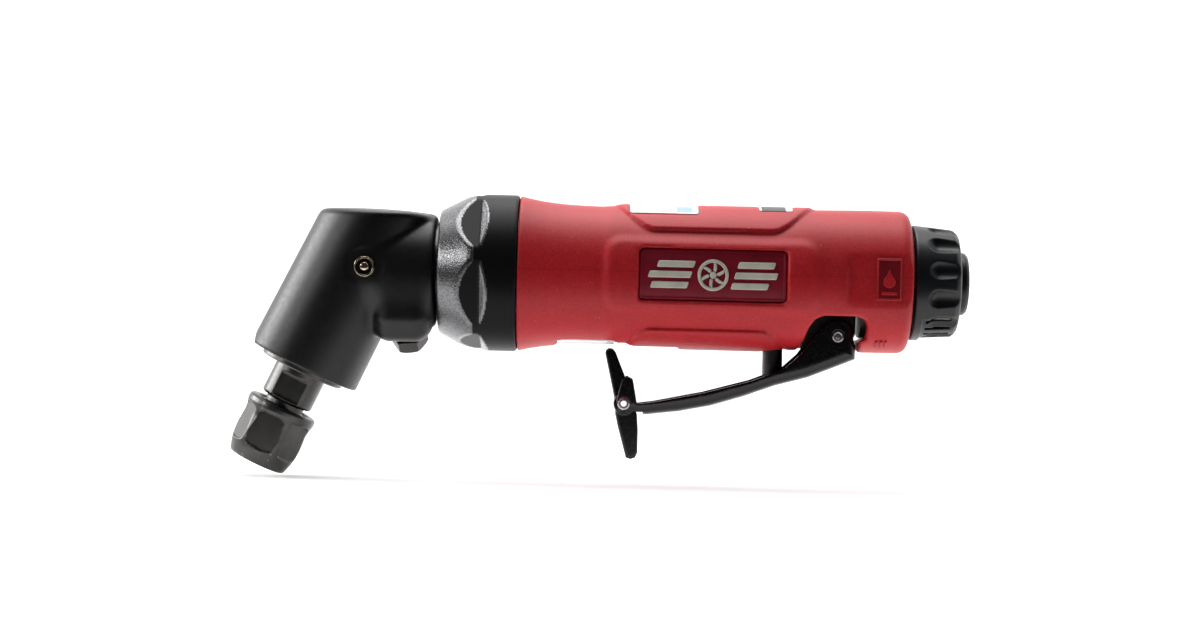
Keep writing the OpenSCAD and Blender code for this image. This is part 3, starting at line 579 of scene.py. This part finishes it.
def make_world():
    """White all round, with the dark side of a studio where the camera stands."""
    world = bpy.data.worlds.new("studio")
    world.use_nodes = True
    tree = world.node_tree
    where = tree.nodes.new("ShaderNodeTexCoord")
    towards_back = axis_value(tree, where.outputs["Generated"], "Y")
    dark_side = tree.nodes.new("ShaderNodeMapRange")
    dark_side.interpolation_type = "SMOOTHSTEP"
    dark_side.inputs["From Min"].default_value = -0.35
    dark_side.inputs["From Max"].default_value = 0.4
    dark_side.inputs["To Min"].default_value = 0.015
    dark_side.inputs["To Max"].default_value = 1.5
    tree.links.new(towards_back, dark_side.inputs["Value"])
    path = tree.nodes.new("ShaderNodeLightPath")
    seen = math_node(tree, "MAXIMUM", dark_side.outputs["Result"], path.outputs["Is Camera Ray"])
    tree.links.new(seen, tree.nodes["Background"].inputs["Strength"])
    tree.nodes["Background"].inputs["Color"].default_value = (1, 1, 1, 1)
    bpy.context.scene.world = world


def make_stage():
    scene = bpy.context.scene
    scene.view_settings.view_transform = "Standard"
    make_camera()
    make_floor()
    make_world()
    centre = VIEW_CENTRE
    soft_light("top", centre + Vector((-0.05, 0.06, 0.55)), centre, 0.5, 3.0)
    head = centre + Vector((-0.06, 0, 0))
    soft_light("left", centre + Vector((-0.72, 0.12, 0.27)), head, 0.5, 4, 0.2)
    soft_light("front_left", centre + Vector((-0.66, -0.36, 0.26)), head, 0.26, 0.9, 0.1)


make_stage()

# ---------------------------------------------------------------- angle head
FITTING = (4.5, 0, 0.6)
BOLT_X = 14.0                               # where the clamp bolt stands along the handle
BOLT_REACH = 13.7                           # from the handle's axis to the bolt's
BOLT_LEAN = math.radians(7)
ROOT_HALF = math.sqrt(0.5)


def spindle_coords(x, z):
    """Distance along the spindle from the crossing point, and sideways towards the rear."""
    return -x * SIN_TILT - z * COS_TILT, x * COS_TILT - z * SIN_TILT


def from_spindle(point):
    """A point given as station along the spindle, across it and towards the rear."""
    t, y, side = point
    return place((-t * SIN_TILT + side * COS_TILT, y, -t * COS_TILT - side * SIN_TILT))


def bolt_coords(x, y, z):
    """Down the clamp bolt, outward from it, and along the handle from it."""
    down = ROOT_HALF * (y - z)
    out = -ROOT_HALF * (y + z) - BOLT_REACH
    along = x - BOLT_X
    return (down * math.cos(BOLT_LEAN) + along * math.sin(BOLT_LEAN), out,
            along * math.cos(BOLT_LEAN) - down * math.sin(BOLT_LEAN))


def head_field(x, y, z):
    barrel_r, barrel_end, lean = 14.3, 26.8, 0.0244
    crown_top, collar_r, neck_end = 15.3, 12.4, 21.4
    t, side = spindle_coords(x, z)
    rho_spindle = np.hypot(side, y)
    rho_handle = np.hypot(y, z)
    leaning = np.hypot(side - lean * (barrel_end - t), y) - barrel_r
    barrel = smooth_max(np.maximum(rho_spindle - barrel_r, leaning), t - barrel_end, 0.35)
    crown = z - crown_top + 0.003 * (x - 2) ** 2 + 0.012 * np.maximum(x - 13, 0) ** 2 + 0.005 * y ** 2
    barrel = smooth_max(barrel, smooth_max(crown, x - neck_end + 0.8, 1.8), 1.4)
    neck_r = 14.2 - 3.6 * (1 - step_up(x, -6, 6))
    neck = smooth_max(rho_handle - neck_r, -x - 4, 0.5)
    neck = smooth_max(neck, 0.75 * (x - neck_end) + 0.66 * (rho_handle - collar_r - 1.0), 0.8)
    neck = smooth_max(neck, x - neck_end, 0.4)
    body = smooth_min(barrel, neck, 1.1)
    down, out, along = bolt_coords(x, y, z)
    side_face = polygon_distance(y, z, [(-8.9, -2), (-8.9, -11.4), (-7.7, -13.2), (-6.8, -12.3),
                                        (0, -6.4), (0, -2)])
    end_face = np.abs(x - 13.9 - 0.05 * (z + 12)) - 2.8
    lug = (np.hypot(np.maximum(side_face, 0), np.maximum(end_face, 0))
           + np.minimum(np.maximum(side_face, end_face), 0) - 4.5)
    body = smooth_min(body, lug, 2.4)
    # spotface round the grease fitting, and its bore
    spot = np.hypot(x - FITTING[0], z - FITTING[2])
    body = smooth_max(body, -smooth_max(spot - 4.6, y + 14.05, 0.3), 0.35)
    body = np.maximum(body, -np.maximum(spot - 2.58, y + 9))
    # seat under the clamp bolt's head
    seat = smooth_max(np.hypot(out, along) - 4.9, 8.0 - down, 0.3)
    body = smooth_max(body, -seat, 0.3)
    body = np.maximum(body, -np.maximum(np.hypot(out, along) - 2.55, -0.9 - down))
    # bores for the bearings, the gears and the cartridge
    bearing_bore = np.maximum(rho_spindle - 12.05, 8.6 - t)
    gear_room = np.maximum(rho_spindle - 10.3, np.maximum(t - 9, -7.5 - t))
    cartridge_bore = np.maximum(rho_handle - 11.52, 9.4 - x)
    pinion_room = np.maximum(rho_handle - 8.3, np.maximum(1 - x, x - 9.6))
    hollow = np.minimum(np.minimum(bearing_bore, gear_room), np.minimum(cartridge_bore, pinion_room))
    return smooth_max(body, -hollow, 0.3)


def bolt_head_field(x, y, z):
    """Hexagon bolt with a chamfered head, along its own axis z."""
    rho = np.hypot(x, y)
    head_low, head_high, half_flats = 8.0, 11.5, 4.0
    hexagon = np.maximum(np.abs(y), np.abs(x) * 0.866 + np.abs(y) * 0.5) - half_flats
    head = smooth_max(hexagon, np.abs(z - (head_low + head_high) / 2) - (head_high - head_low) / 2, 0.25)
    head = smooth_max(head, (rho - 4.55 + (z - head_high + 0.4) * 1.3) / 1.64, 0.2)
    shank = np.maximum(rho - 2.5, np.abs(z - 3.65) - 4.45)
    return np.minimum(head, shank)


def from_bolt(point):
    """The clamp bolt's own axes: along it is z, outward from the neck is y."""
    px, py, pz = point
    down = pz * math.cos(BOLT_LEAN) - px * math.sin(BOLT_LEAN)
    along = pz * math.sin(BOLT_LEAN) + px * math.cos(BOLT_LEAN)
    out = py + BOLT_REACH
    return place((BOLT_X + along, ROOT_HALF * (down - out), -ROOT_HALF * (down + out)))


def make_head():
    head = mesh_from_field("angle_head", head_field, (-23, -19, -38), (22, 16.5, 16.5), 0.36)
    finish_piece(head, "head_housing")
    bolt = mesh_from_field("clamp_bolt_hex", bolt_head_field, (-5.2, -5.2, -1.4), (5.2, 5.2, 12), 0.16,
                           to_frame=from_bolt)
    finish_piece(bolt, "clamp_bolt", "black_oxide")
    cup = lathe("grease_nipple", from_fitting, [
        (9.5, 0), (9.5, 2.55), (14.6, 2.55), (14.85, 2.4), (14.85, 2.05), (14.6, 1.95), (13.5, 1.9),
        (13.5, 1.2), (14.5, 1.15), (14.8, 0.9), (14.95, 0.5), (14.95, 0)], 0.07)
    finish_piece(cup, "grease_fitting")
    # Faces inside the cup's recess take the dark black_oxide material as painted shade: the darkness stands
    # in for the shade in the recess, not a second finish on the fitting.
    cup.data.materials.append(MATERIALS["black_oxide"])
    for face in cup.data.polygons:
        px, py, pz = (face.center - APEX) / MM - Vector(FITTING)
        if 1.22 < math.hypot(px, pz) < 1.97 and py > -14.55:
            face.material_index = 1


def from_fitting(point):
    px, py, pz = point
    return place((FITTING[0] + px, -pz, FITTING[2] + py))


# ----------------------------------------------------------- spindle and nut
def nut_field(x, y, z):
    """The collet nut along its own axis z, with six milled flats."""
    rho = np.hypot(x, y)
    flats, flat_low, flat_high = 7.62, 40.4, 49.8
    shell = turned_table(z, rho, [
        (38, 6.9), (38, 8.2), (38.4, 8.85), (39.8, 8.9), (41, 8.55), (42.6, 8.35), (44.5, 8.5), (46.5, 8.65),
        (48.8, 8.5), (50.8, 8.1), (53.1, 7.4), (53.5, 7.0), (53.5, 4.7), (53, 4.35), (50.6, 4.35),
        (48.6, 5.5), (47.4, 6.02), (39.6, 6.02)], 0.15)
    middle, half = (flat_low + flat_high) / 2, (flat_high - flat_low) / 2
    for turn in range(6):
        a = math.radians(60 * turn + 27)
        across = x * math.cos(a) + y * math.sin(a)
        beside = y * math.cos(a) - x * math.sin(a)
        pocket = rounded_box(beside, z - middle, 5.6, half, 4.4)
        shell = smooth_max(shell, -np.maximum(pocket, flats - across), 0.15)
    return shell


def spindle_field(x, y, z):
    rho = np.hypot(x, y)
    shell = turned_table(z, rho, [
        (0.9, 0), (0.9, 2.2), (1.2, 2.5), (2.9, 2.5), (2.9, 3.45), (8.85, 3.45), (8.85, 5.97),
        (24.95, 5.97), (24.95, 6.56), (36.2, 6.56), (36.7, 6.06), (36.7, 5), (38.2, 5),
        (38.6, 5.9), (46.4, 5.9), (46.8, 5.5), (46.8, 4.75), (36, 3.35), (24, 3.3), (24, 0)], 0.1)
    half_flats, flats_middle, flats_half_length = 5.5, 33, 3
    slab = smooth_max(half_flats - np.abs(y), np.abs(z - flats_middle) - flats_half_length, 0.2)
    return smooth_max(shell, -slab, 0.15)


def make_spindle():
    nut = mesh_from_field("collet_nut_hex", nut_field, (-9.5, -9.5, 37.4), (9.5, 9.5, 54), 0.2,
                          to_frame=on_spindle)
    finish_piece(nut, "collet_nut", "black_oxide")
    shaft = mesh_from_field("spindle_shaft", spindle_field, (-7.1, -7.1, 0.3), (7.1, 7.1, 47.4), 0.22,
                            to_frame=on_spindle)
    finish_piece(shaft, "spindle", "black_oxide")


def on_spindle(point):
    """The spindle's own axes: x towards the rear, y across, z outward."""
    px, py, pz = point
    return from_spindle((pz, py, px))


# ----------------------------------------------------------------- clamp nut
def clamp_nut_field(x, y, z):
    rho = np.hypot(y, z)
    flats, flat_reach, first_flat, flat_end = 6, 17.6, 43, 32.5
    shell = turned_table(x, rho, [
        (22.2, 11.7), (22.2, 15), (22.6, 15.4), (29.6, 19.05), (31, 19.5), (41.4, 19.5),
        (41.8, 19.1), (41.8, 16.15), (28.4, 16.15), (28.4, 13.7), (25.5, 13.7), (25.5, 11.7)], 0.4)
    for i in range(flats):
        a = math.radians(first_flat + i * 360 / flats)
        reach = -y * math.cos(a) + z * math.sin(a)
        ramp_up = np.maximum(x - flat_end, 0) * 1.05
        cut = (reach - flat_reach - ramp_up) / np.where(x > flat_end, 1.45, 1.0)
        shell = smooth_max(shell, np.where(x < 35.5, cut, -3.0), 0.25)
    return shell


def grain_share(piece):
    """How rough-cast each point of the clamp nut is: its cone and ramps, not its flats or rim."""
    mesh = piece.data
    share = mesh.attributes.new("grain", "FLOAT", "POINT")
    for vertex, item in zip(mesh.vertices, share.data):
        x, y, z = (vertex.co - APEX) / MM
        rho = math.hypot(y, z)
        on_cone = x < 31.2 and rho > 15.2 + 0.52 * (x - 22.6) - 0.35
        turn = math.degrees(math.atan2(z, -y)) - 43
        reach = rho * math.cos(math.radians((turn + 30) % 60 - 30))
        ramp_here = 32.9 < x < 35.6 and abs(reach - 17.6 - (x - 32.5) * 1.05) < 0.45
        item.value = 1.0 if on_cone or ramp_here else 0.0


def make_clamp_nut():
    nut = mesh_from_field("clamp_nut_ring", clamp_nut_field, (21.6, -20.1, -20.1), (42.4, 20.1, 20.1), 0.3)
    grain_share(nut)
    finish_piece(nut, "clamp_nut", "black_ring")


# ---------------------------------------------------------------------- grip
BADGE = (89.7, 0.45, 36.4, 12.9, 16.5)      # x, z, width, height, floor radius
OIL = (132.7, 0.45)                         # x, z
OIL_FACE = (16.54, 16.88)                   # back and front, in depth
GRIP_END = 139.4
STEM_X = 105.7
# each label: first x, length, half width, radius of its seat, and 1 on top or -1 below
TOP_LABEL = (69.2, 17, 9.2, 17.85, 1)
REAR_TOP_LABEL = (101.2, 8.4, 6.8, 17.95, 1)
BOTTOM_LABEL = (51.8, 14.4, 5.8, 17.0, -1)
LABEL_GAP = 0.2
WINDOW = [(117.2, -8.7), (125.4, -8.7), (127.2, -9.4), (128, -11), (128, -14.5), (126.5, -14.8),
          (126.5, -25), (111.7, -25), (111.7, -17.6), (112.9, -14.6), (113.8, -11.6), (115.2, -9.6)]
GRIP_LINE = [(41.9, 19.55), (43.2, 19.24), (45, 18.86), (47.2, 18.46), (49.6, 18.12), (53, 17.78),
             (57.6, 17.55), (64, 17.4), (72, 17.3), (100, 17.4), (117, 17.6), (128, 17.75), (136, 17.7)]


def grip_radius(x):
    stations, radii = zip(*GRIP_LINE)
    return np.interp(x, stations, radii).astype(np.float32)


def pad_edge(x, middle, first, last, rise, soft):
    """Height of a pad's crease: level in the middle and turning away at both ends."""
    return middle + rise * (1 - step_up(x, first, first + soft) + step_up(x, last - soft, last))


def grip_field(x, y, z):
    rho = np.hypot(y, z)
    top_crease = pad_edge(x, 11.5, 63.0, 116.5, 7.0, 12.5)
    low_crease = -pad_edge(x, 13.1, 66.0, 110.5, 6.0, 8.5)
    top = step_up(z - top_crease, -0.8, 0.45)
    low = step_up(low_crease - z, -0.7, 0.45)
    # shallow scoops beside the pads, and the proud panel round the badge
    along_top = step_up(x, 65, 76) - step_up(x, 102, 114)
    along_low = step_up(x, 68, 76) - step_up(x, 99, 109)
    beside_top = np.exp(-np.maximum(top_crease - z, 0) / 1.9) * (1 - top) * along_top
    beside_low = np.exp(-np.maximum(z - low_crease, 0) / 1.6) * (1 - low) * along_low
    panel = rounded_box(x - 89.5, z - 0.2, 26.5, 9.4, 4.5)
    proud = 0.55 * (1 - step_up(panel, -1.9, 0.7))
    waist = 0.2 * (step_up(x, 62, 64.6) - 1)
    reach_top = step_up(x, 62.5, 69) * 0.72 - 0.1 * step_up(x, 104, 116)
    reach_low = step_up(x, 65.5, 72) * (1 - 0.8 * step_up(x, 103, 110)) * 0.7
    wall = (grip_radius(x) + waist + proud + reach_top * top + reach_low * low
            - 0.55 * beside_top - 0.5 * beside_low)
    body = rho - wall
    dome = (x - GRIP_END + 0.0022 * rho ** 2)
    body = smooth_max(body, dome, 2.6)
    body = smooth_max(body, 41.9 - x, 0.5)
    # the badge recess on both sides, the rear recess and the labels' seats
    bx, bz, bw, bh, floor = BADGE
    badge = rounded_box(x - bx, z - bz, bw / 2, bh / 2, 1.3)
    body = smooth_max(body, -smooth_max(badge, floor - rho, 0.15), 0.25)
    rear_flat_y, rear_flat_from = 16.6, 122.4
    flat = -smooth_max(rear_flat_y - np.abs(y), rear_flat_from - x, 0.8)
    body = smooth_max(body, flat, 0.4)
    for first, wide, half, seat, side in (TOP_LABEL, REAR_TOP_LABEL, BOTTOM_LABEL):
        patch = rounded_box(x - first - wide / 2, y, wide / 2 + LABEL_GAP, half + LABEL_GAP, 0.6)
        patch = np.maximum(patch, np.maximum(seat - rho, -side * z))
        body = smooth_max(body, -patch, 0.2)
    # openings
    body = smooth_max(body, -polygon_distance(x, z, WINDOW), 0.9)
    stem_hole_r = 3.1
    stem = np.maximum(np.hypot(x - STEM_X, y) - stem_hole_r, z)
    body = smooth_max(body, -stem, 0.5)
    slot = np.maximum(rounded_box(x - 72.25, y, 9.75, 3.9, 1.5), z + 15.6)
    body = smooth_max(body, -slot, 0.5)
    # the bore
    bore = np.where(x < 45.15, 16.35, np.where(x < 136.4, 14.3, 12.7))
    return smooth_max(body, bore - rho, 0.25)


def mould_marks_field(x, y, z):
    """Three raised bars on each side of the underside, behind the lever."""
    first, pitch, middle_turn = 130.6, 1.1, 30
    foot, top = 17.3, 18.2
    rho = np.hypot(y, z)
    turn = np.degrees(np.arctan2(np.abs(y), -z))
    mm_per_degree = 0.31
    across = (turn - middle_turn) * mm_per_degree
    bars = [rounded_box(x - first - pitch * k, across, 0.32, 1.5, 0.2) for k in range(3)]
    marks = np.minimum(np.minimum(bars[0], bars[1]), bars[2])
    return smooth_max(np.maximum(marks, foot - rho), rho - top, 0.12)


def make_grip():
    grip = mesh_from_field("grip_shell", grip_field, (41.2, -20.0, -20.0), (140.0, 20.0, 20.0), 0.52)
    finish_piece(grip, "grip", "red_composite")
    marks = mesh_from_field("grip_mould_marks", mould_marks_field,
                            (129.8, -12, -18.8), (133.8, 12, -12.5), 0.14)
    finish_piece(marks, "grip", "red_composite")


# ------------------------------------------------------------ badge and plate
def emblem_distance(x, z):
    """A plain device for the badge: a turbine disc between slanted bars of falling length."""
    slant = x - 0.32 * z
    best = np.hypot(x, z) - 3.75
    hub = np.hypot(x, z) - 0.85
    vanes = np.full_like(best, 9.0)
    for i in range(6):
        a = math.radians(i * 60 + 10)
        u, v = x * math.cos(a) + z * math.sin(a), -x * math.sin(a) + z * math.cos(a)
        blade = rounded_box(u - 1.95, v - 0.16 * (u - 1.0) ** 2, 0.95, 0.42, 0.3)
        vanes = np.minimum(vanes, blade)
    ring = np.abs(np.hypot(x, z) - 3.45) - 0.42
    best = np.minimum(np.minimum(ring, vanes), hub)
    for side in (-1, 1):
        for row, (half, reach) in enumerate(((4.6, 10.0), (5.3, 10.7), (4.6, 10.0))):
            dz = z - (1 - row) * 2.55
            best = np.minimum(best, rounded_box(slant - side * reach, dz, half, 0.82, 0.35))
    return best


def badge_field(x, y, z):
    bx, bz, bw, bh, floor = BADGE
    rho = np.hypot(y, z)
    plate = rounded_box(x - bx, z - bz, bw / 2 - 0.15, bh / 2 - 0.15, 1.15)
    rim = np.abs(plate + 0.45) - 0.28
    shell = np.maximum(plate, floor + 0.06 - rho)
    face = smooth_max(shell, rho - 16.95, 0.2)
    border = smooth_max(np.maximum(rim, floor + 0.06 - rho), rho - 17.12, 0.15)
    return np.minimum(face, border)


def emblem_field(x, y, z):
    bx, bz = BADGE[0], BADGE[1]
    rho = np.hypot(y, z)
    shape = emblem_distance((x - bx) * 1.02, z - bz)
    return smooth_max(smooth_max(shape, rho - 17.3, 0.2), 16.75 - rho, 0.1)


def oil_plate_field(x, y, z):
    plate = rounded_box(x - OIL[0], z - OIL[1], 3.25, 5.25, 0.5)
    return smooth_max(np.maximum(plate, OIL_FACE[0] + y), -y - OIL_FACE[1] + 0.06, 0.1)


def oil_mark_field(x, y, z):
    low, high = OIL_FACE
    dx, dz = x - OIL[0], z - OIL[1]
    plate = rounded_box(dx, dz, 3.25, 5.25, 0.5)
    rim = smooth_max(np.maximum(np.abs(plate + 0.4) - 0.26, low + y), -y - high - 0.12, 0.15)
    # a drop of oil, point up, over a level bar
    tip = np.maximum(np.abs(dx) - (2.5 - dz) * 0.44, np.maximum(-dz - 0.1, dz - 2.5))
    drop = smooth_min(np.hypot(dx, dz + 0.6) - 1.5, tip, 0.3)
    mark = np.minimum(drop, rounded_box(dx, dz + 3.4, 1.9, 0.4, 0.2))
    mark = smooth_max(np.maximum(mark, low + y), -y - high - 0.12, 0.15)
    return np.minimum(rim, mark)


def make_badges():
    first, last = BADGE[0] - 19.2, BADGE[0] + 19.2
    for side, name in ((-1, "near"), (1, "far")):
        ys = (-17.6, -15.0) if side < 0 else (15.0, 17.6)
        corners = (first, ys[0], -6.4), (last, ys[1], 7.9)
        plate = mesh_from_field("badge_plate_" + name, badge_field, *corners, 0.18)
        mark = mesh_from_field("badge_mark_" + name, emblem_field, *corners, 0.14)
        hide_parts("side_badges")
        for piece, stuff in ((plate, "badge_red"), (mark, "ivory_mark")):
            piece.data.materials.append(MATERIALS[stuff])
            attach(piece, "housing")
    for name, field, stuff in (("oil_plate_panel", oil_plate_field, "plate_red"),
                               ("oil_plate_mark", oil_mark_field, "red_composite")):
        panel = mesh_from_field(name, field, (129.0, -17.6, -5.4), (136.4, -16.3, 6.2), 0.12)
        finish_piece(panel, "oil_plate", stuff)


# ------------------------------------------------------------- lever and catch
LEVER_OUTLINE = [
    (67.3, -33.2), (68.5, -34.5), (74.5, -34.4), (82.5, -33.4), (90.4, -31.8), (98.4, -29.3),
    (106.3, -26.4), (114.3, -24.2), (122.2, -21), (126, -19.4), (126.4, -14.3), (125.3, -11.4),
    (123.2, -10), (121.4, -9.7), (119.2, -10.3), (117.5, -11.4), (115.5, -13.8), (114.1, -15.8),
    (112.2, -18.5), (108.2, -22.2), (100.3, -25.3), (88.4, -28.6), (76.4, -31.1), (72.1, -31.7),
    (71, -25.7), (69.5, -24.9), (68.2, -25.8), (67, -31)]


def lever_field(x, y, z):
    sheet = 1.3
    half = np.interp(x, [60, 76, 112, 135], [5.5, 5.5, 6.8, 6.8]).astype(np.float32)
    side = polygon_distance(x, z, LEVER_OUTLINE)
    underside = LEVER_OUTLINE[1:10]
    under = polygon_distance(x, z, [(60, 5), (60, -33.4)] + underside + [(126.3, 5)])
    outer = np.maximum(smooth_max(side, np.abs(y) - half, 0.5), smooth_max(under, np.abs(y) - half, 3.4))
    room = polygon_distance(x, z, [
        (60, -33.1), (74.5, -33), (82.5, -32), (90.4, -30.4), (98.4, -27.9), (106.3, -25),
        (114.3, -22.8), (122.2, -19.6), (124.4, -18.7), (124.8, -16), (130, -15), (130, 0), (60, 0)])
    inner = smooth_max(room, np.abs(y) - half + sheet, 2.0)
    body = smooth_max(outer, -inner, 0.3)
    mouth = np.maximum(np.maximum(60 - x, x - 73.6), np.abs(y) - 5.5 + sheet)
    body = smooth_max(body, -mouth, 0.3)
    hinge = np.hypot(x - HINGE.x, z - HINGE.z) - 1.5
    pin = np.hypot(x - CATCH.x, z - CATCH.z) - 1.52
    return np.maximum(body, -np.minimum(hinge, pin))


def catch_field(x, y, z):
    cx, cz = CATCH.x, CATCH.z
    plate = polygon_distance(x, z, [
        (cx - 2.2, cz + 0.5), (63.9, -19.5), (64.0, -18.6), (64.7, -18.0), (65.8, -18.1), (66.6, -19.0),
        (cx + 1.7, cz + 3.4), (cx + 2.2, cz + 0.5), (72.3, -34.5), (72.6, -38.5), (72.6, -44.0),
        (72.0, -45.3), (70.8, -45.7), (69.6, -45.3), (67.4, -37.5), (cx - 2.1, cz - 2.6)])
    body = smooth_max(plate + 0.05, np.abs(y) - 2.8, 0.7)
    hub = np.maximum(np.hypot(x - cx, z - cz) - 2.5, np.abs(y + 0.75) - 3.15)
    body = smooth_min(body, hub, 0.5)
    return np.maximum(body, 1.55 - np.hypot(x - cx, z - cz))


def make_lever():
    lever = mesh_from_field("lever_shell", lever_field, (66.2, -7.4, -35.2), (127.2, 7.4, -9.0), 0.25)
    finish_piece(lever, "lever", "black_lever")
    catch = mesh_from_field("safety_catch_blade", catch_field,
                            (63.6, -4.6, -46.4), (73.8, 4.6, -17.4), 0.2)
    finish_piece(catch, "safety_catch", "black_lever")
    reach = 7.1
    pin = lathe("lever_hinge_pin", lambda p: place((HINGE.x + p[0], p[2], HINGE.z + p[1])), [
        (-reach, 0), (-reach, 0.55), (0.25 - reach, 0.75), (-reach, 1.1), (0.3 - reach, 1.45),
        (reach - 0.3, 1.45), (reach, 1.1), (reach - 0.25, 0.75), (reach, 0.55), (reach, 0)], 0.06)
    finish_piece(pin, "lever_pin", "gear_steel")
    low, high = span("catch_pin")
    end, hole = high.y, 0.75
    tube = lathe("catch_hollow_pin", lambda p: place((CATCH.x + p[0], p[2], CATCH.z + p[1])), [
        (-end, hole), (-end, 1.2), (0.3 - end, 1.5), (end - 0.3, 1.5), (end, 1.2), (end, hole)],
        0.08, closed=True)
    finish_piece(tube, "catch_pin", "machined_steel")


# -------------------------------------------------------------------- rear end
def deflector_field(x, y, z):
    rho = np.hypot(y, z)
    body = turned_table(x, rho, [
        (139.6, 12.2), (139.6, 14.15), (139.9, 14.4), (142, 14.2), (149.6, 13.4), (150.5, 12.75),
        (150.9, 12.3), (151.5, 9.2), (151.5, 7.85), (149.4, 7.85), (149.4, 12.2)], 0.25)
    flute_reach, flute_r, flute_from = 15.55, 3.0, 145.6
    for i in range(12):
        if 5 <= i <= 7:      # the slotted panel is here
            continue
        a = math.radians(-43 + 30 * i)
        across = np.hypot(y + flute_reach * math.cos(a), z + flute_reach * math.sin(a))
        flute = np.where(x < flute_from, np.hypot(x - flute_from, across), across) - flute_r
        body = smooth_max(body, -flute, 0.3)
    # a bordered panel with slots along the bottom
    turn = np.degrees(np.arctan2(y, -z))
    panel = np.maximum((np.abs(turn) - 49) * 0.24, np.abs(x - 145.7) - 3.9)
    panel_cut = np.maximum(panel, 13.25 + (149.6 - x) * 0.06 - rho)
    body = smooth_max(body, -panel_cut, 0.2)
    for k in range(-4, 5):
        a = math.radians(11 * k)
        over = y * math.cos(a) + z * math.sin(a)
        down = y * math.sin(a) - z * math.cos(a)
        slot = np.maximum(rounded_box(x - 145.8, over, 3.2, 0.42, 0.3), 10 - down)
        body = smooth_max(body, -slot, 0.15)
    return body


def bushing_field(x, y, z):
    rho = np.hypot(y, z)
    shell = turned_table(x, rho, [
        (127.1, 4.4), (127.1, 7.8), (129.4, 7.8), (129.4, 6.7), (130.8, 6.7), (130.8, 7.8),
        (152.8, 7.8), (153.6, 7.1), (153.6, 6.3), (153.1, 5.6), (136.8, 5.6), (136.8, 4.4)], 0.15)
    pitch, bore_r, thread_depth = 1.411, 5.6, 0.45
    phase = np.mod(x / pitch - np.arctan2(z, y) / (2 * math.pi), 1.0)
    thread = bore_r + thread_depth * np.abs(2 * phase - 1)
    groove = np.maximum(rho - thread, np.maximum(137.4 - x, x - 153.3))
    return np.maximum(shell, -groove)


def make_rear():
    cover = mesh_from_field("exhaust_deflector_cap", deflector_field,
                            (139.0, -15, -15), (152.1, 15, 15), 0.22)
    finish_piece(cover, "exhaust_deflector", "black_plastic")
    bushing = mesh_from_field("inlet_bushing_threaded", bushing_field, (126.6, -9, -9), (154.3, 9, 9), 0.2)
    finish_piece(bushing, "inlet_bushing", "black_casting")
    low, high = span("throttle_stem")
    stem = lathe("throttle_stem_button", lambda p: place((STEM_X + p[0], p[1], p[2])), [
        (low.z, 0), (low.z, 1.7), (low.z + 0.25, 2.2), (low.z + 0.9, 2.5), (high.z - 0.3, 2.5),
        (high.z, 2.2), (high.z, 0)], 0.1)
    finish_piece(stem, "throttle_stem")


def make_valve_spring():
    """The valve's spring, a fixed coil of round wire between the ends of the CAD spring."""
    low, high = span("valve_spring")
    wire, turns = 0.3, 6
    radius = (high.y - low.y) / 2 - wire
    spring = coil("valve_return_spring", STEM_X, radius, wire, low.z + wire, high.z - wire, turns)
    finish_piece(spring, "valve_spring")
    tuple(place((STEM_X, 0, high.z)))
    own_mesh(spring)


# --------------------------------------------------------------------- labels
def label_field(first, wide, half, seat, side):
    def field(x, y, z):
        rho = np.hypot(y, z)
        sheet = rounded_box(x - first - wide / 2, y, wide / 2, half, 0.8)
        return smooth_max(np.maximum(sheet, -side * z), np.abs(rho - seat - 0.14) - 0.08, 0.05)
    return field


def make_labels():
    for name, node, size, stuff in (("label_top_front", "top_label", TOP_LABEL, "label_front"),
                                    ("label_top_rear", "rear_top_label", REAR_TOP_LABEL, "label_rear"),
                                    ("label_bottom", "bottom_label", BOTTOM_LABEL, "label_plain")):
        first, wide, half, seat, side = size
        low_z, high_z = (14, 18.5) if side > 0 else (-18.5, -14)
        margin = 0.5
        label = mesh_from_field(name, label_field(*size),
                                (first - margin, -half - margin, low_z),
                                (first + wide + margin, half + margin, high_z), 0.14)
        label.data.materials.append(MATERIALS[stuff])
        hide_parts(node)
        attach(label, "housing")


for make in (make_head, make_spindle, make_clamp_nut, make_grip, make_badges, make_labels, make_lever,
             make_rear, make_valve_spring):
    make()

# ------------------------------------------------------------------ CAD nodes
for node, slot_name in SLOT_OF.items():
    node_mesh = frame["nodes"][node].data
    node_mesh.materials.clear()
    node_mesh.materials.append(MATERIALS[slot_name])
